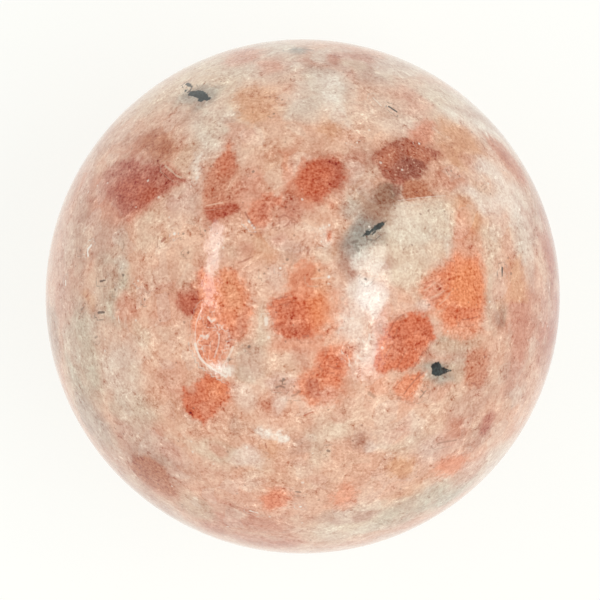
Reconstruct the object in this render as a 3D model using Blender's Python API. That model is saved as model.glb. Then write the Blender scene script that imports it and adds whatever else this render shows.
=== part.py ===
"""A polished sunstone sphere, as a collector keeps on a shelf: one piece of stone, ground and polished into a ball.

Metres, +Z up. The origin is the middle of the small ground flat that the ball stands on.
"""

import math

import bmesh
import bpy

BALL_DIAMETER = 0.060
REST_FLAT_DIAMETER = 0.008

# One step round the ball, and from pole to pole, is 5 degrees.
SEGMENTS = 72
RINGS = 36

STONE_COLOUR = (0.68, 0.36, 0.25, 1.0)
STONE_ROUGHNESS = 0.12
STONE_IOR = 1.54

BALL_RADIUS = BALL_DIAMETER / 2
REST_FLAT_RADIUS = REST_FLAT_DIAMETER / 2
CENTRE_HEIGHT = math.sqrt(BALL_RADIUS**2 - REST_FLAT_RADIUS**2)
WELD_DISTANCE = 1e-6


def clear_scene():
    """Removes whatever the startup scene holds."""
    for obj in list(bpy.data.objects):
        bpy.data.objects.remove(obj, do_unlink=True)


def polished_stone():
    """The stone's finish: salmon feldspar with a glossy polish."""
    material = bpy.data.materials.new("polished_sunstone")
    material.use_nodes = True
    shader = material.node_tree.nodes["Principled BSDF"]
    shader.inputs["Base Color"].default_value = STONE_COLOUR
    shader.inputs["Roughness"].default_value = STONE_ROUGHNESS
    shader.inputs["Metallic"].default_value = 0.0
    shader.inputs["IOR"].default_value = STONE_IOR
    return material


def grind_rest_flat(mesh):
    """Cuts the ball off level with the ground, which leaves the small flat that it stands on."""
    shape = bmesh.new()
    shape.from_mesh(mesh)
    cut = bmesh.ops.bisect_plane(
        shape,
        geom=shape.verts[:] + shape.edges[:] + shape.faces[:],
        plane_co=(0.0, 0.0, -CENTRE_HEIGHT),
        plane_no=(0.0, 0.0, -1.0),
        clear_outer=True,
    )
    rim = [part for part in cut["geom_cut"] if isinstance(part, bmesh.types.BMEdge)]
    bmesh.ops.contextual_create(shape, geom=rim)
    bmesh.ops.remove_doubles(shape, verts=shape.verts, dist=WELD_DISTANCE)
    bmesh.ops.recalc_face_normals(shape, faces=shape.faces)
    shape.to_mesh(mesh)
    shape.free()


def make_ball(collection):
    """The ball, resting on its flat at the origin."""
    bpy.ops.mesh.primitive_uv_sphere_add(
        segments=SEGMENTS,
        ring_count=RINGS,
        radius=BALL_RADIUS,
        location=(0.0, 0.0, CENTRE_HEIGHT),
    )
    ball = bpy.context.object
    ball.name = "sunstone_sphere"
    ball.data.name = "sunstone_sphere"
    grind_rest_flat(ball.data)
    ball.data.shade_smooth()
    ball.data.set_sharp_from_angle(angle=math.radians(6.5))
    ball.data.materials.append(polished_stone())
    for owner in list(ball.users_collection):
        owner.objects.unlink(ball)
    collection.objects.link(ball)
    return ball


def main():
    clear_scene()
    collection = bpy.data.collections.new("sunstone_sphere")
    bpy.context.scene.collection.children.link(collection)
    make_ball(collection)


main()
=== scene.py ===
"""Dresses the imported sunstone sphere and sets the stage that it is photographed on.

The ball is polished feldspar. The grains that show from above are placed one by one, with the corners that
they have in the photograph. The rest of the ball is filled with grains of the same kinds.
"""
import math
import random
from typing import NamedTuple

import bmesh
import bpy
import numpy as np
from bpy.props import FloatProperty, FloatVectorProperty, IntProperty, PointerProperty
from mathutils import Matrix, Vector, noise


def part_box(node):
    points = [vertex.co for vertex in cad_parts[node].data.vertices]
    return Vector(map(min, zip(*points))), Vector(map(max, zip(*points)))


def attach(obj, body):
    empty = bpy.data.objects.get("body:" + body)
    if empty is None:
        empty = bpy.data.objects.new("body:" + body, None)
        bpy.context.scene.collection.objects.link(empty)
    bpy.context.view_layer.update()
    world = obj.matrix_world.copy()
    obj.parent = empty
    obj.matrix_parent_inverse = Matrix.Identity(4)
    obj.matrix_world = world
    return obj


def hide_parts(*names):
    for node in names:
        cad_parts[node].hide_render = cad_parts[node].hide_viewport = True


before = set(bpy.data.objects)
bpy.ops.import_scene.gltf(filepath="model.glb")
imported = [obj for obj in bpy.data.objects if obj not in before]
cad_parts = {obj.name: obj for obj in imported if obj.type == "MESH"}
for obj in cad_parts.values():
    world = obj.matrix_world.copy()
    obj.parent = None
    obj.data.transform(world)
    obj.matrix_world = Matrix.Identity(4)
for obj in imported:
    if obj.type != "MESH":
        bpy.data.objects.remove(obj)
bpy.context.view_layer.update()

bl_info = {
    "name": "Sunstone Sphere",
    "version": (1, 0, 0),
    "blender": (4, 5, 0),
    "location": "View3D > Sidebar > Sunstone",
    "description": "Builds a polished sunstone sphere and a light box round it",
    "category": "Object",
}

BALL_NODE = "sunstone_sphere"
BALL_LOW, BALL_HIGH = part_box(BALL_NODE)
BALL_RADIUS = (BALL_HIGH.x - BALL_LOW.x) / 2
BALL_CENTRE = Vector((0.0, 0.0, BALL_HIGH.z - BALL_RADIUS))
MM = 0.001
# Blender's noise moves with the clock unless it is given a seed.
NOISE_SEED = 1448

# The photograph looks straight down on the ball. These are its pixels: the frame's side, and the ball's
# outline in it.
PHOTO_SIDE = 600
PHOTO_BALL_X = 302.7
PHOTO_BALL_Y = 296.4
PHOTO_BALL_RADIUS = 257.2
# The floor lies this far under the ball's flat, so that the two don't show through each other from below.
FLOOR_GAP = 0.00002
CAMERA_DISTANCE = 0.30
SENSOR_SIDE = 36.0
# The size on the ball of one pixel of the photograph, at the ball's top.
MM_PER_PIXEL = (
    (CAMERA_DISTANCE - BALL_RADIUS) * BALL_RADIUS / math.sqrt(CAMERA_DISTANCE**2 - BALL_RADIUS**2)
    / PHOTO_BALL_RADIUS / MM
)
# How far each strip light leans out from straight above. Its reflection then lies where the photograph
# has it.
LEFT_LEAN = math.radians(39.6)
RIGHT_LEAN = math.radians(29.5)
CLIP_START = 0.01
PAPER_ROUGHNESS = 0.9
FELDSPAR_IOR = 1.54
BUMP_DEPTH = 0.04 * MM
SHARP_ANGLE = math.radians(30)
# Keeps a division from being by nought.
TINY = 1e-9


def screen(code):
    """The linear colour that shows on a screen as this six-figure code."""
    parts = [int(code[i:i + 2], 16) / 255 for i in (0, 2, 4)]
    return tuple(p / 12.92 if p <= 0.04045 else ((p + 0.055) / 1.055) ** 2.4 for p in parts)


def tint(name, description, code):
    """A colour that the user can change."""
    return FloatVectorProperty(
        name=name, description=description, default=screen(code), subtype="COLOR", size=3, min=0.0, max=1.0
    )


def number(name, description, default, low=0.0, high=100.0):
    """A plain number that the user can change."""
    return FloatProperty(name=name, description=description, default=default, min=low, max=high)


def measure(name, description, default, low=0.0):
    """A length that the user can change."""
    return FloatProperty(name=name, description=description, default=default, min=low, unit="LENGTH")


class SunstoneTints(bpy.types.PropertyGroup):
    """The colours of the minerals in the stone."""

    blush: tint("Blush", "The pink feldspar that holds the grains", "EBB89C")
    peach: tint("Peach", "Warm pale feldspar", "F3C6AA")
    cream: tint("Cream", "Pale feldspar", "EED7BE")
    # Milk also paints the white net and squiggles that stand for the lamps' broken reflections, and part of
    # the painted highlights over the stone.
    milk: tint("Milk", "Whitest feldspar, and healed cracks", "FDF1E3")
    beige: tint("Beige", "Dull feldspar", "DABA9F")
    quartz: tint("Quartz", "Grey-green quartz", "D0BFA9")
    mauve: tint("Mauve", "Brown-mauve feldspar", "D0A590")
    salmon: tint("Salmon", "Lightly stained feldspar", "E49F84")
    ochre: tint("Ochre", "Tan grains", "E2A67E")
    orange: tint("Orange", "Brightest grains", "F09260")
    rust: tint("Rust", "Red-orange grains", "DC7650")
    brick: tint("Brick", "Deep red grains", "C06246")
    rose: tint("Rose", "Dull red grains", "D28C72")
    plum: tint("Plum", "Darkest red grains", "AC5E46")
    umber: tint("Umber", "Brown-grey grains", "A2745C")
    dusk: tint("Dusk", "Grey-brown feldspar in small spots", "C2907A")
    coral: tint("Coral", "Pale orange grains", "EE926A")
    copper: tint("Copper", "Brown grain under the darkest one", "BE7350")
    terracotta: tint("Terracotta", "Brown-orange grains", "CE8060")
    madder: tint("Madder", "Dusky red grains", "BC6A54")
    dark_plum: tint("Dark plum", "Middles of the darkest red grains", "8C4A3A")
    lilac: tint("Lilac", "Cool pink feldspar", "E2B9A7")
    frost: tint("Frost", "Cool pale feldspar", "EBDDCC")
    # White also paints the core of the painted highlight round the right lamp's reflection.
    white: tint("White", "Milky quartz and chipped spots", "FFF8EE")
    bistre: tint("Bistre", "Small dark brown grains", "6A5244")
    slate: tint("Slate", "Grey haze round the black grains", "98938A")
    black: tint("Black", "Black iron grains", "2E3434")
    speck: tint("Speck", "Small brown flakes", "8E5A48")


class SunstoneSizes(bpy.types.PropertyGroup):
    """The sizes that shape the ball's surface and its markings."""

    cells: IntProperty(
        name="Cells", description="Faces along one edge of the cube that the ball starts as",
        default=124, min=8, max=126,
    )
    top_squeeze: number("Top squeeze", "How far the faces crowd upwards, where 1 is evenly", 0.72, 0.4, 1.0)
    flat_bevel: measure("Flat bevel", "Width of the eased edge round the flat under the ball", 0.00025)
    polish_roughness: number("Polish roughness", "Roughness of the polished stone", 0.13, high=1.0)
    worn_roughness: number("Worn roughness", "Roughness where the polish is worn", 0.5, high=1.0)
    seed: IntProperty(
        name="Seed", description="Picks the grains on the side that the photograph hides", default=7, min=0,
    )


class SunstoneStage(bpy.types.PropertyGroup):
    """The light box."""

    floor_side: measure("Floor side", "Width of the white floor", 3.0, 0.2)
    paper: tint("Paper", "The floor's colour", "9C9B97")
    paper_light: tint("Paper light", "Colour of the light that comes through the paper", "FBFEFC")
    paper_glow: number("Paper glow", "Light that comes through the paper from below", 0.73)
    fill: tint("Fill", "Colour of the light from the box's walls", "FFFCF7")
    fill_strength: number("Fill strength", "Light from the box's walls", 0.60)
    lamp_height: measure("Lamp height", "Height of the strip lights over the ball's middle", 0.42, 0.05)
    left_length: measure("Left lamp length", "Length of the left strip light", 0.60, 0.01)
    left_width: measure("Left lamp width", "Width of the left strip light", 0.055, 0.005)
    left_radiance: number("Left lamp brightness", "Brightness of the left strip light's face", 5.2)
    right_length: measure("Right lamp length", "Length of the right strip light", 0.46, 0.01)
    right_shift: measure("Right lamp shift", "How far it sits towards the picture's foot", 0.09, -1.0)
    right_width: measure("Right lamp width", "Width of the right strip light", 0.07, 0.005)
    right_radiance: number("Right lamp brightness", "Brightness of the right strip light's face", 3.3)
    glow_width: measure("Right glow width", "Width of the haze round the right strip light", 0.13, 0.005)
    glow_radiance: number("Right glow brightness", "Brightness of that haze", 2.0)


class Cloud(NamedTuple):
    """A soft patch of another tint. Place and size are in the photograph's pixels, the turn in degrees."""

    tint: str
    x: float
    y: float
    width: float
    height: float
    strength: float = 0.7
    turn: float = 0.0


class Grain(NamedTuple):
    """A grain with its corners in the photograph, in pixels. Its border's softness is in millimetres.

    Its cleavage lines run at this angle, in degrees anticlockwise from the right."""

    tint: str
    corners: tuple
    border: float = 0.35
    strength: float = 0.9
    lines: float = 0.3
    angle: float = 60.0
    mottle: float = 1.0


class Mark(NamedTuple):
    """A thin line through places in the photograph, or a dot at one place. Its width is in pixels too."""

    tint: str
    places: tuple
    width: float
    strength: float = 0.9


class Patch(NamedTuple):
    """A cloud on the ball itself: its middle's direction, its half sizes in millimetres and its turn."""

    tint: str
    middle: Vector
    width: float
    height: float
    turn: float
    strength: float


def pairs(numbers):
    """x and y by turns, as places."""
    return tuple(zip(numbers[::2], numbers[1::2]))


def cloud_rows(**rows):
    """Clouds from named rows of tint, x, y, width, height, strength and turn."""
    return {name: Cloud(*row) for name, row in rows.items()}


def grain_rows(**rows):
    """Grains from named rows of tint, corners' x and y by turns, border, strength, lines, angle, mottle."""
    return {name: Grain(tint, pairs(corners), *rest) for name, (tint, corners, *rest) in rows.items()}


def mark_rows(**rows):
    """Marks from named rows of tint, width, strength, and the places' x and y by turns."""
    return {
        name: Mark(tint, pairs(places), width, strength)
        for name, (tint, width, strength, *places) in rows.items()
    }


# Soft patches of the pale stone, some of them partly painted highlight over the lamps' reflections. A later
# one lies over those before it.
CLOUDS = cloud_rows(
    top_left_cream=("cream", 214, 78, 76, 44, 0.85, 18), top_peach=("peach", 276, 78, 80, 60, 0.8),
    top_rim_grey=("frost", 268, 54, 96, 24, 0.8, 6), top_rose=("rose", 277, 64, 26, 18, 0.5),
    top_rim_rose=("salmon", 243, 56, 46, 14, 0.8, 16), top_rim_slate=("slate", 300, 51, 26, 8, 0.35),
    top_grey_patch=("mauve", 314, 71, 34, 12, 0.95), top_tan_chip=("umber", 312, 72, 18, 9, 0.35),
    top_frost=("frost", 324, 94, 66, 48, 0.9), top_frost_low=("frost", 304, 112, 34, 24, 0.6),
    top_frost_bright=("milk", 332, 96, 30, 44, 0.6), top_rim_pink=("terracotta", 360, 59, 50, 20, 0.55, -8),
    top_mauve=("dusk", 381, 82, 34, 44, 0.85, 10), top_mauve_left=("mauve", 350, 74, 30, 22, 0.5),
    top_umber=("dusk", 372, 64, 50, 20, 0.85, 14), top_salmon_right=("rose", 372, 61, 44, 14, 0.7, 14),
    top_frost_small=("frost", 323, 57, 22, 14, 0.6), top_salmon_left=("salmon", 268, 67, 24, 16, 0.6),
    top_cream_side=("cream", 354, 66, 20, 14), top_tan_right=("rose", 350, 74, 14, 16, 0.5),
    top_cream_right=("peach", 416, 88, 70, 44, 0.8, -30),
    top_rim_cream=("frost", 406, 66, 50, 14, 0.6, -24),
    upper_right_grey=("frost", 466, 112, 92, 32, 0.8, -45),
    upper_right_cream=("cream", 444, 108, 60, 34, 0.6, -40),
    upper_right_milk=("milk", 473, 119, 44, 22, 0.55, -45),
    upper_right_salmon=("salmon", 410, 102, 50, 26, 0.6, -20),
    top_middle_peach=("peach", 344, 124, 80, 34, 0.6), top_middle_salmon=("salmon", 338, 134, 40, 16, 0.3),
    top_middle_milk=("milk", 340, 118, 22, 26, 0.5), upper_left_frost=("frost", 214, 128, 56, 60, 0.85, 20),
    upper_left_pale=("cream", 222, 122, 40, 40, 0.3), upper_left_rose=("rose", 220, 116, 30, 26, 0.2),
    upper_left_red=("salmon", 234, 132, 22, 30, 0.6), tan_top_side=("rose", 250, 112, 10, 30, 0.5),
    top_brown=("rose", 249, 139, 22, 22, 0.9), upper_left_mauve=("mauve", 120, 128, 70, 30, 0.6, 45),
    upper_left_pink=("blush", 150, 112, 60, 34, 0.7, 45),
    upper_left_rim=("cream", 158, 96, 70, 20, 0.7, 40), blob_haze=("slate", 196, 97, 30, 24, 0.45, -20),
    blob_haze_low=("slate", 186, 106, 40, 34, 0.12, 20), shoulder_beige=("beige", 190, 160, 26, 40, 0.5),
    shoulder_tan=("ochre", 166, 146, 22, 26), shoulder_side_brown=("rose", 150, 158, 30, 20, 0.6),
    tongue=("rose", 132, 154, 42, 18, 0.6, 20), middle_tan=("peach", 274, 158, 52, 52, 0.6),
    middle_tan_deep=("salmon", 280, 153, 26, 14, 0.4), middle_top_peach=("peach", 252, 152, 26, 40, 0.6),
    salmon_by_pentagon=("salmon", 248, 186, 26, 40, 0.85),
    salmon_by_trapezoid=("salmon", 288, 196, 30, 46, 0.95), trapezoid_side=("rust", 286, 168, 16, 40),
    trapezoid_high=("terracotta", 291, 157, 16, 20), rose_by_trapezoid=("rose", 294, 208, 26, 18, 0.85),
    salmon_under_trapezoid=("coral", 314, 204, 34, 16, 0.6),
    mauve_by_plum=("mauve", 360, 170, 32, 60, 0.65), plum_under_brown=("dusk", 402, 211, 14, 24, 0.65),
    plum_left_rose=("rose", 355, 160, 14, 30, 0.5), pale_by_plum=("cream", 352, 200, 26, 26, 0.5),
    upper_right_tan=("ochre", 460, 148, 40, 62, 1, 15), upper_right_rose=("rose", 454, 178, 40, 22, 0.6),
    upper_right_tan_low=("terracotta", 478, 168, 20, 28, 0.8, 20),
    right_upper_brown=("dusk", 492, 126, 26, 14, 0.5, -50),
    right_upper_cream=("milk", 491, 184, 32, 60, 0.7, 15),
    right_upper_frost=("milk", 523, 214, 20, 70, 0.9, 14), right_upper_milk=("milk", 473, 201, 28, 26),
    upper_right_ochre_low=("ochre", 482, 184, 24, 18, 0.5), upper_right_milk_low=("milk", 465, 201, 24, 18),
    right_rim_mauve=("mauve", 552, 250, 14, 130, 0.9, 6), right_cream=("frost", 420, 228, 92, 70, 1),
    right_cream_green=("quartz", 398, 240, 60, 34, 0.55, 10),
    right_cream_warm=("cream", 436, 214, 50, 40, 0.45), right_low_cream=("cream", 404, 266, 60, 50, 0.9),
    right_cream_tan=("ochre", 437, 251, 18, 18, 0.5), orange_wing_pale=("cream", 420, 288, 22, 30, 0.6),
    tan_over_orange=("ochre", 466, 220, 34, 56, 0.9), coral_over_orange=("salmon", 468, 244, 30, 38),
    needle_mauve=("umber", 350, 254, 28, 54, 0.6, 8), needle_lilac=("frost", 352, 216, 28, 28, 0.35),
    needle_shade=("slate", 377, 240, 16, 18, 0.5),
    needle_upper_shade=("slate", 354, 212, 44, 24, 0.22, -25),
    needle_left_milk=("milk", 354, 226, 12, 12, 0.3), needle_haze=("slate", 366, 233, 46, 30, 0.6, 35),
    needle_haze_low=("slate", 358, 244, 40, 36, 0.4, 40), needle_brown=("dusk", 348, 266, 22, 34, 0.6),
    needle_haze_high=("umber", 380, 210, 40, 20, 0.85, 40),
    umber_by_needle=("umber", 367, 203, 20, 24, 0.6), middle_pink=("peach", 318, 232, 36, 62, 0.9),
    middle_milk=("milk", 326, 238, 16, 30, 0.5), pink_red_dots=("coral", 327, 236, 10, 16),
    ring_rose=("rose", 284, 222, 24, 20, 0.5), middle_low_tan=("ochre", 276, 238, 50, 22, 0.55),
    middle_low_rose=("rose", 282, 240, 22, 18, 0.85), mid_tan=("ochre", 262, 256, 30, 26, 0.5),
    middle_brown=("mauve", 292, 250, 30, 18, 0.6), middle_brown_low=("dusk", 289, 256, 22, 16, 0.45),
    middle_beige_low=("beige", 324, 254, 34, 18, 0.5), middle_salmon_spot=("rose", 246, 253, 22, 20, 0.75),
    middle_pale=("peach", 249, 234, 20, 22, 0.4), middle_cream=("peach", 266, 284, 40, 50, 0.9),
    middle_lilac=("lilac", 276, 276, 24, 30, 0.6), middle_low_cream=("cream", 262, 326, 18, 50, 0.8),
    shoulder_pink=("lilac", 184, 202, 44, 44, 0.8), shoulder_brown=("mauve", 196, 202, 14, 24, 0.8),
    pentagon_side_red=("terracotta", 203, 170, 10, 26, 0.5),
    left_cream=("cream", 150, 234, 40, 34, 0.5, 50), left_peach=("peach", 156, 262, 34, 46, 0.8),
    left_peach_high=("peach", 182, 236, 44, 50, 0.8), left_tan_dot=("ochre", 166, 236, 12, 12, 0.8),
    left_rose=("rose", 112, 216, 30, 30, 0.5), left_tan=("rose", 94, 200, 26, 46, 0.9, -12),
    left_rim_dusk=("mauve", 85, 232, 26, 54, 0.6), left_mauve=("mauve", 106, 244, 46, 50, 0.9),
    left_rim_mauve=("mauve", 68, 264, 34, 110, 0.7, -4),
    left_rim_brown=("mauve", 80, 215, 14, 110, 0.7, -8),
    left_upper_brown=("rose", 88, 182, 18, 36, 0.6, 30), left_rim_pink=("lilac", 58, 250, 18, 120, 0.6, -6),
    left_rim_slate=("slate", 52, 335, 14, 74, 0.25), left_grey=("quartz", 112, 288, 46, 84, 0.9),
    left_grey_pale=("frost", 122, 262, 16, 24, 0.6), left_grey_rose=("rose", 108, 280, 30, 34, 0.3),
    left_dark=("mauve", 94, 300, 24, 30, 0.5), left_salmon_spot=("salmon", 126, 308, 22, 30, 0.85),
    left_ochre_spot=("ochre", 86, 302, 14, 24, 0.9), left_middle_mauve=("rose", 164, 284, 46, 56, 0.45),
    left_middle_pale=("peach", 186, 262, 18, 28, 0.6), left_low_lilac=("lilac", 78, 322, 34, 50),
    left_low_grey=("quartz", 80, 362, 50, 110, 0.9, -14), left_low_beige=("frost", 122, 374, 46, 70, 0.6),
    left_low_peach=("peach", 162, 338, 58, 56, 0.9), left_low_ochre=("salmon", 163, 330, 36, 50, 0.15),
    left_low_rose=("rose", 158, 316, 24, 20, 0.5), left_low_cream=("cream", 138, 334, 22, 26, 0.6),
    # The last cloud on this line whitens the stone under the left lamp's reflection: partly milky stone,
    # partly a painted highlight.
    left_low_salmon=("salmon", 170, 380, 26, 40, 0.5), highlight_milk=("milk", 219, 250, 15, 34, 0.2, 6),
    # The first cloud on this line is a painted reflection: the white foot of the left lamp's broken
    # reflection.
    net_foot_milk=("milk", 222, 372, 26, 14, 0.9, -30), quartz_patch=("quartz", 250, 360, 38, 44, 0.4),
    quartz_patch_low=("quartz", 244, 378, 24, 18, 0.5), quartz_lilac=("lilac", 250, 362, 34, 40, 0.5),
    # The milk and white clouds that lie over the right lamp's reflection are partly milky stone and partly a
    # painted highlight that widens and whitens that reflection.
    under_quartz_cream=("milk", 246, 398, 30, 24, 0.35), white_high=("milk", 378, 258, 30, 36, 0.85),
    white_high_right=("cream", 398, 280, 24, 26), white_high_left=("milk", 362, 261, 18, 26, 0.8),
    brown_by_white=("dusk", 353, 276, 18, 22, 0.75), brown_in_cream=("dusk", 391, 262, 11, 18, 0.6, -20),
    white_middle=("white", 366, 292, 36, 34, 0.85), tan_chip=("dusk", 391, 262, 16, 22),
    white_low=("milk", 352, 320, 30, 46, 0.55), white_right_salmon=("salmon", 383, 324, 18, 44, 0.6, 20),
    white_right_coral=("coral", 377, 342, 16, 26, 0.6, 10), white_foot=("milk", 366, 350, 26, 36, 0.5),
    low_middle_coral=("coral", 296, 347, 60, 16, 0.3), low_middle_peach=("peach", 288, 362, 54, 26, 0.9),
    low_middle_lilac=("lilac", 286, 386, 44, 30, 0.8), low_middle_grey=("beige", 288, 392, 24, 20),
    low_middle_dusk=("dusk", 354, 378, 12, 40, 0.4), low_middle_rose=("rose", 287, 393, 18, 20),
    soft_red_left=("rose", 303, 356, 20, 18, 0.6), soft_red_side=("salmon", 359, 354, 18, 26, 0.15),
    low_middle_milk=("milk", 280, 406, 16, 16, 0.5), low_right_peach=("peach", 372, 398, 56, 60, 0.9),
    orange_low_glow=("coral", 430, 308, 30, 18, 0.5), orange_above=("coral", 464, 228, 16, 32, 0.5),
    orange_top_ground=("salmon", 468, 250, 22, 20, 0.5), cream_patch_side=("peach", 452, 210, 20, 30, 0.3),
    # The second cloud on this line is partly milky stone and partly a painted highlight over the right
    # lamp's reflection.
    white_low_right=("milk", 425, 303, 24, 16, 0.6), white_low_left=("milk", 375, 303, 18, 26, 0.8),
    central_left_umber=("umber", 382, 328, 14, 22, 0.4), low_right_coral=("coral", 376, 380, 30, 30, 0.35),
    low_right_cream=("cream", 406, 436, 60, 40), low_right_milk=("milk", 412, 430, 24, 26, 0.2),
    low_right_rose=("rose", 403, 424, 20, 16, 0.6), low_right_mauve=("rose", 436, 396, 24, 22, 0.6),
    polygon_mauve=("dusk", 237, 424, 26, 20, 0.7, 10), low_left_beige=("quartz", 130, 412, 50, 50, 0.6, 30),
    low_left_slate=("slate", 94, 426, 28, 64, 0.3, 28),
    low_left_mauve=("mauve", 146, 452, 96, 50, 0.9, -38), low_left_rose=("rose", 168, 452, 30, 20),
    low_left_rose_high=("rose", 155, 436, 20, 14, 0.6, -35),
    rim_grain_rose=("salmon", 156, 484, 50, 20, 0.8, -35),
    rim_grain_glow=("terracotta", 165, 464, 42, 30, 0.4, -35),
    rim_grain_side=("umber", 150, 466, 40, 30, 0.6, -35), low_cream=("cream", 216, 452, 56, 26, 0.8),
    low_rose_left=("rose", 219, 449, 16, 14, 0.6), low_cream_middle=("milk", 246, 457, 36, 20, 0.6),
    low_brown_left=("terracotta", 254, 482, 20, 12, 0.5),
    low_rose_edge=("rose", 214, 530, 30, 10, 0.6, -25), low_rose_rim=("rose", 224, 507, 26, 14, 0.5, -20),
    low_salmon_dot=("salmon", 298, 469, 18, 12, 0.6), low_rose_right=("salmon", 398, 435, 30, 20, 0.6),
    low_green_right=("frost", 432, 448, 22, 26, 0.6), low_cream_right=("cream", 316, 456, 26, 40, 0.8),
    low_middle_cream=("peach", 262, 430, 60, 24, 0.6), lower_cream=("cream", 334, 430, 50, 30, 0.8),
    low_milk_right=("milk", 371, 446, 16, 16, 0.6), lower_rose=("rose", 322, 421, 32, 18, 0.35),
    lower_rose_right=("rose", 344, 412, 20, 24, 0.6), lower_pink=("blush", 340, 470, 60, 30, 0.6),
    lower_beige=("rose", 232, 498, 60, 40, 0.2), lower_tan=("ochre", 268, 474, 44, 20, 0.2),
    low_peach=("peach", 300, 500, 40, 30, 0.5), lower_coral=("peach", 296, 470, 24, 24, 0.6),
    lower_right_tan=("ochre", 412, 492, 60, 18, 0.6, 15),
    lower_right_lilac=("lilac", 440, 448, 50, 40, 0.6), bottom_rose=("rose", 244, 520, 100, 26, 0.8, -8),
    bottom_left_rim=("terracotta", 220, 528, 54, 22, 0.5, -22),
    low_left_lilac=("mauve", 150, 500, 100, 18, 0.7, -38), low_left_cream=("beige", 196, 508, 30, 26),
    bottom_cream=("cream", 356, 526, 100, 34, 0.95, 8), bottom_mauve=("mauve", 346, 518, 62, 12, 0.9, -4),
    bottom_grey=("quartz", 404, 512, 80, 26, 0.8, 20), bottom_rim_rose=("rose", 266, 542, 70, 14, 0.95, 2),
    lower_right_grey=("quartz", 448, 494, 70, 30, 1, 35),
    lower_right_rim=("frost", 488, 466, 70, 30, 0.55, 50),
    lower_right_salmon=("salmon", 472, 468, 56, 18, 0.5, 42),
    right_low_rose=("rose", 456, 428, 40, 40, 0.45), right_low_brown=("terracotta", 503, 331, 14, 30, 0.6),
    right_rim_low=("mauve", 517, 384, 18, 36, 0.8, 15), right_low_umber=("dusk", 511, 372, 16, 46, 0.6, 8),
    right_low_mauve=("mauve", 470, 404, 60, 30, 0.5), small_plum_haze=("dusk", 478, 440, 20, 24, 0.6),
    right_low_peach=("peach", 430, 420, 34, 30, 0.6), dot_halo=("quartz", 444, 360, 52, 56, 0.95),
    dot_halo_right=("beige", 456, 372, 20, 24, 0.8), dot_halo_slate=("slate", 440, 374, 24, 26, 0.35),
    right_halo_salmon=("salmon", 440, 356, 36, 20, 0.6), right_beige_band=("beige", 458, 346, 50, 14),
    right_beige=("beige", 494, 300, 22, 76, 0.9), right_beige_tan=("terracotta", 496, 322, 12, 26, 0.6),
    right_beige_salmon=("salmon", 498, 286, 14, 38, 0.5), right_smudge=("umber", 500, 320, 13, 26),
    right_cream_strip=("cream", 490, 244, 24, 50), right_rose_column=("salmon", 520, 296, 24, 90, 0.95),
    right_green_pale=("frost", 531, 258, 22, 46), right_upper_green=("frost", 519, 236, 14, 44, 0.5),
    right_pale_rim=("rose", 555, 296, 14, 110, 0.9, 2), right_rim_red=("madder", 559, 288, 14, 110, 0.8),
    right_band_pale=("peach", 541, 280, 12, 56, 0.6),
)

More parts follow.
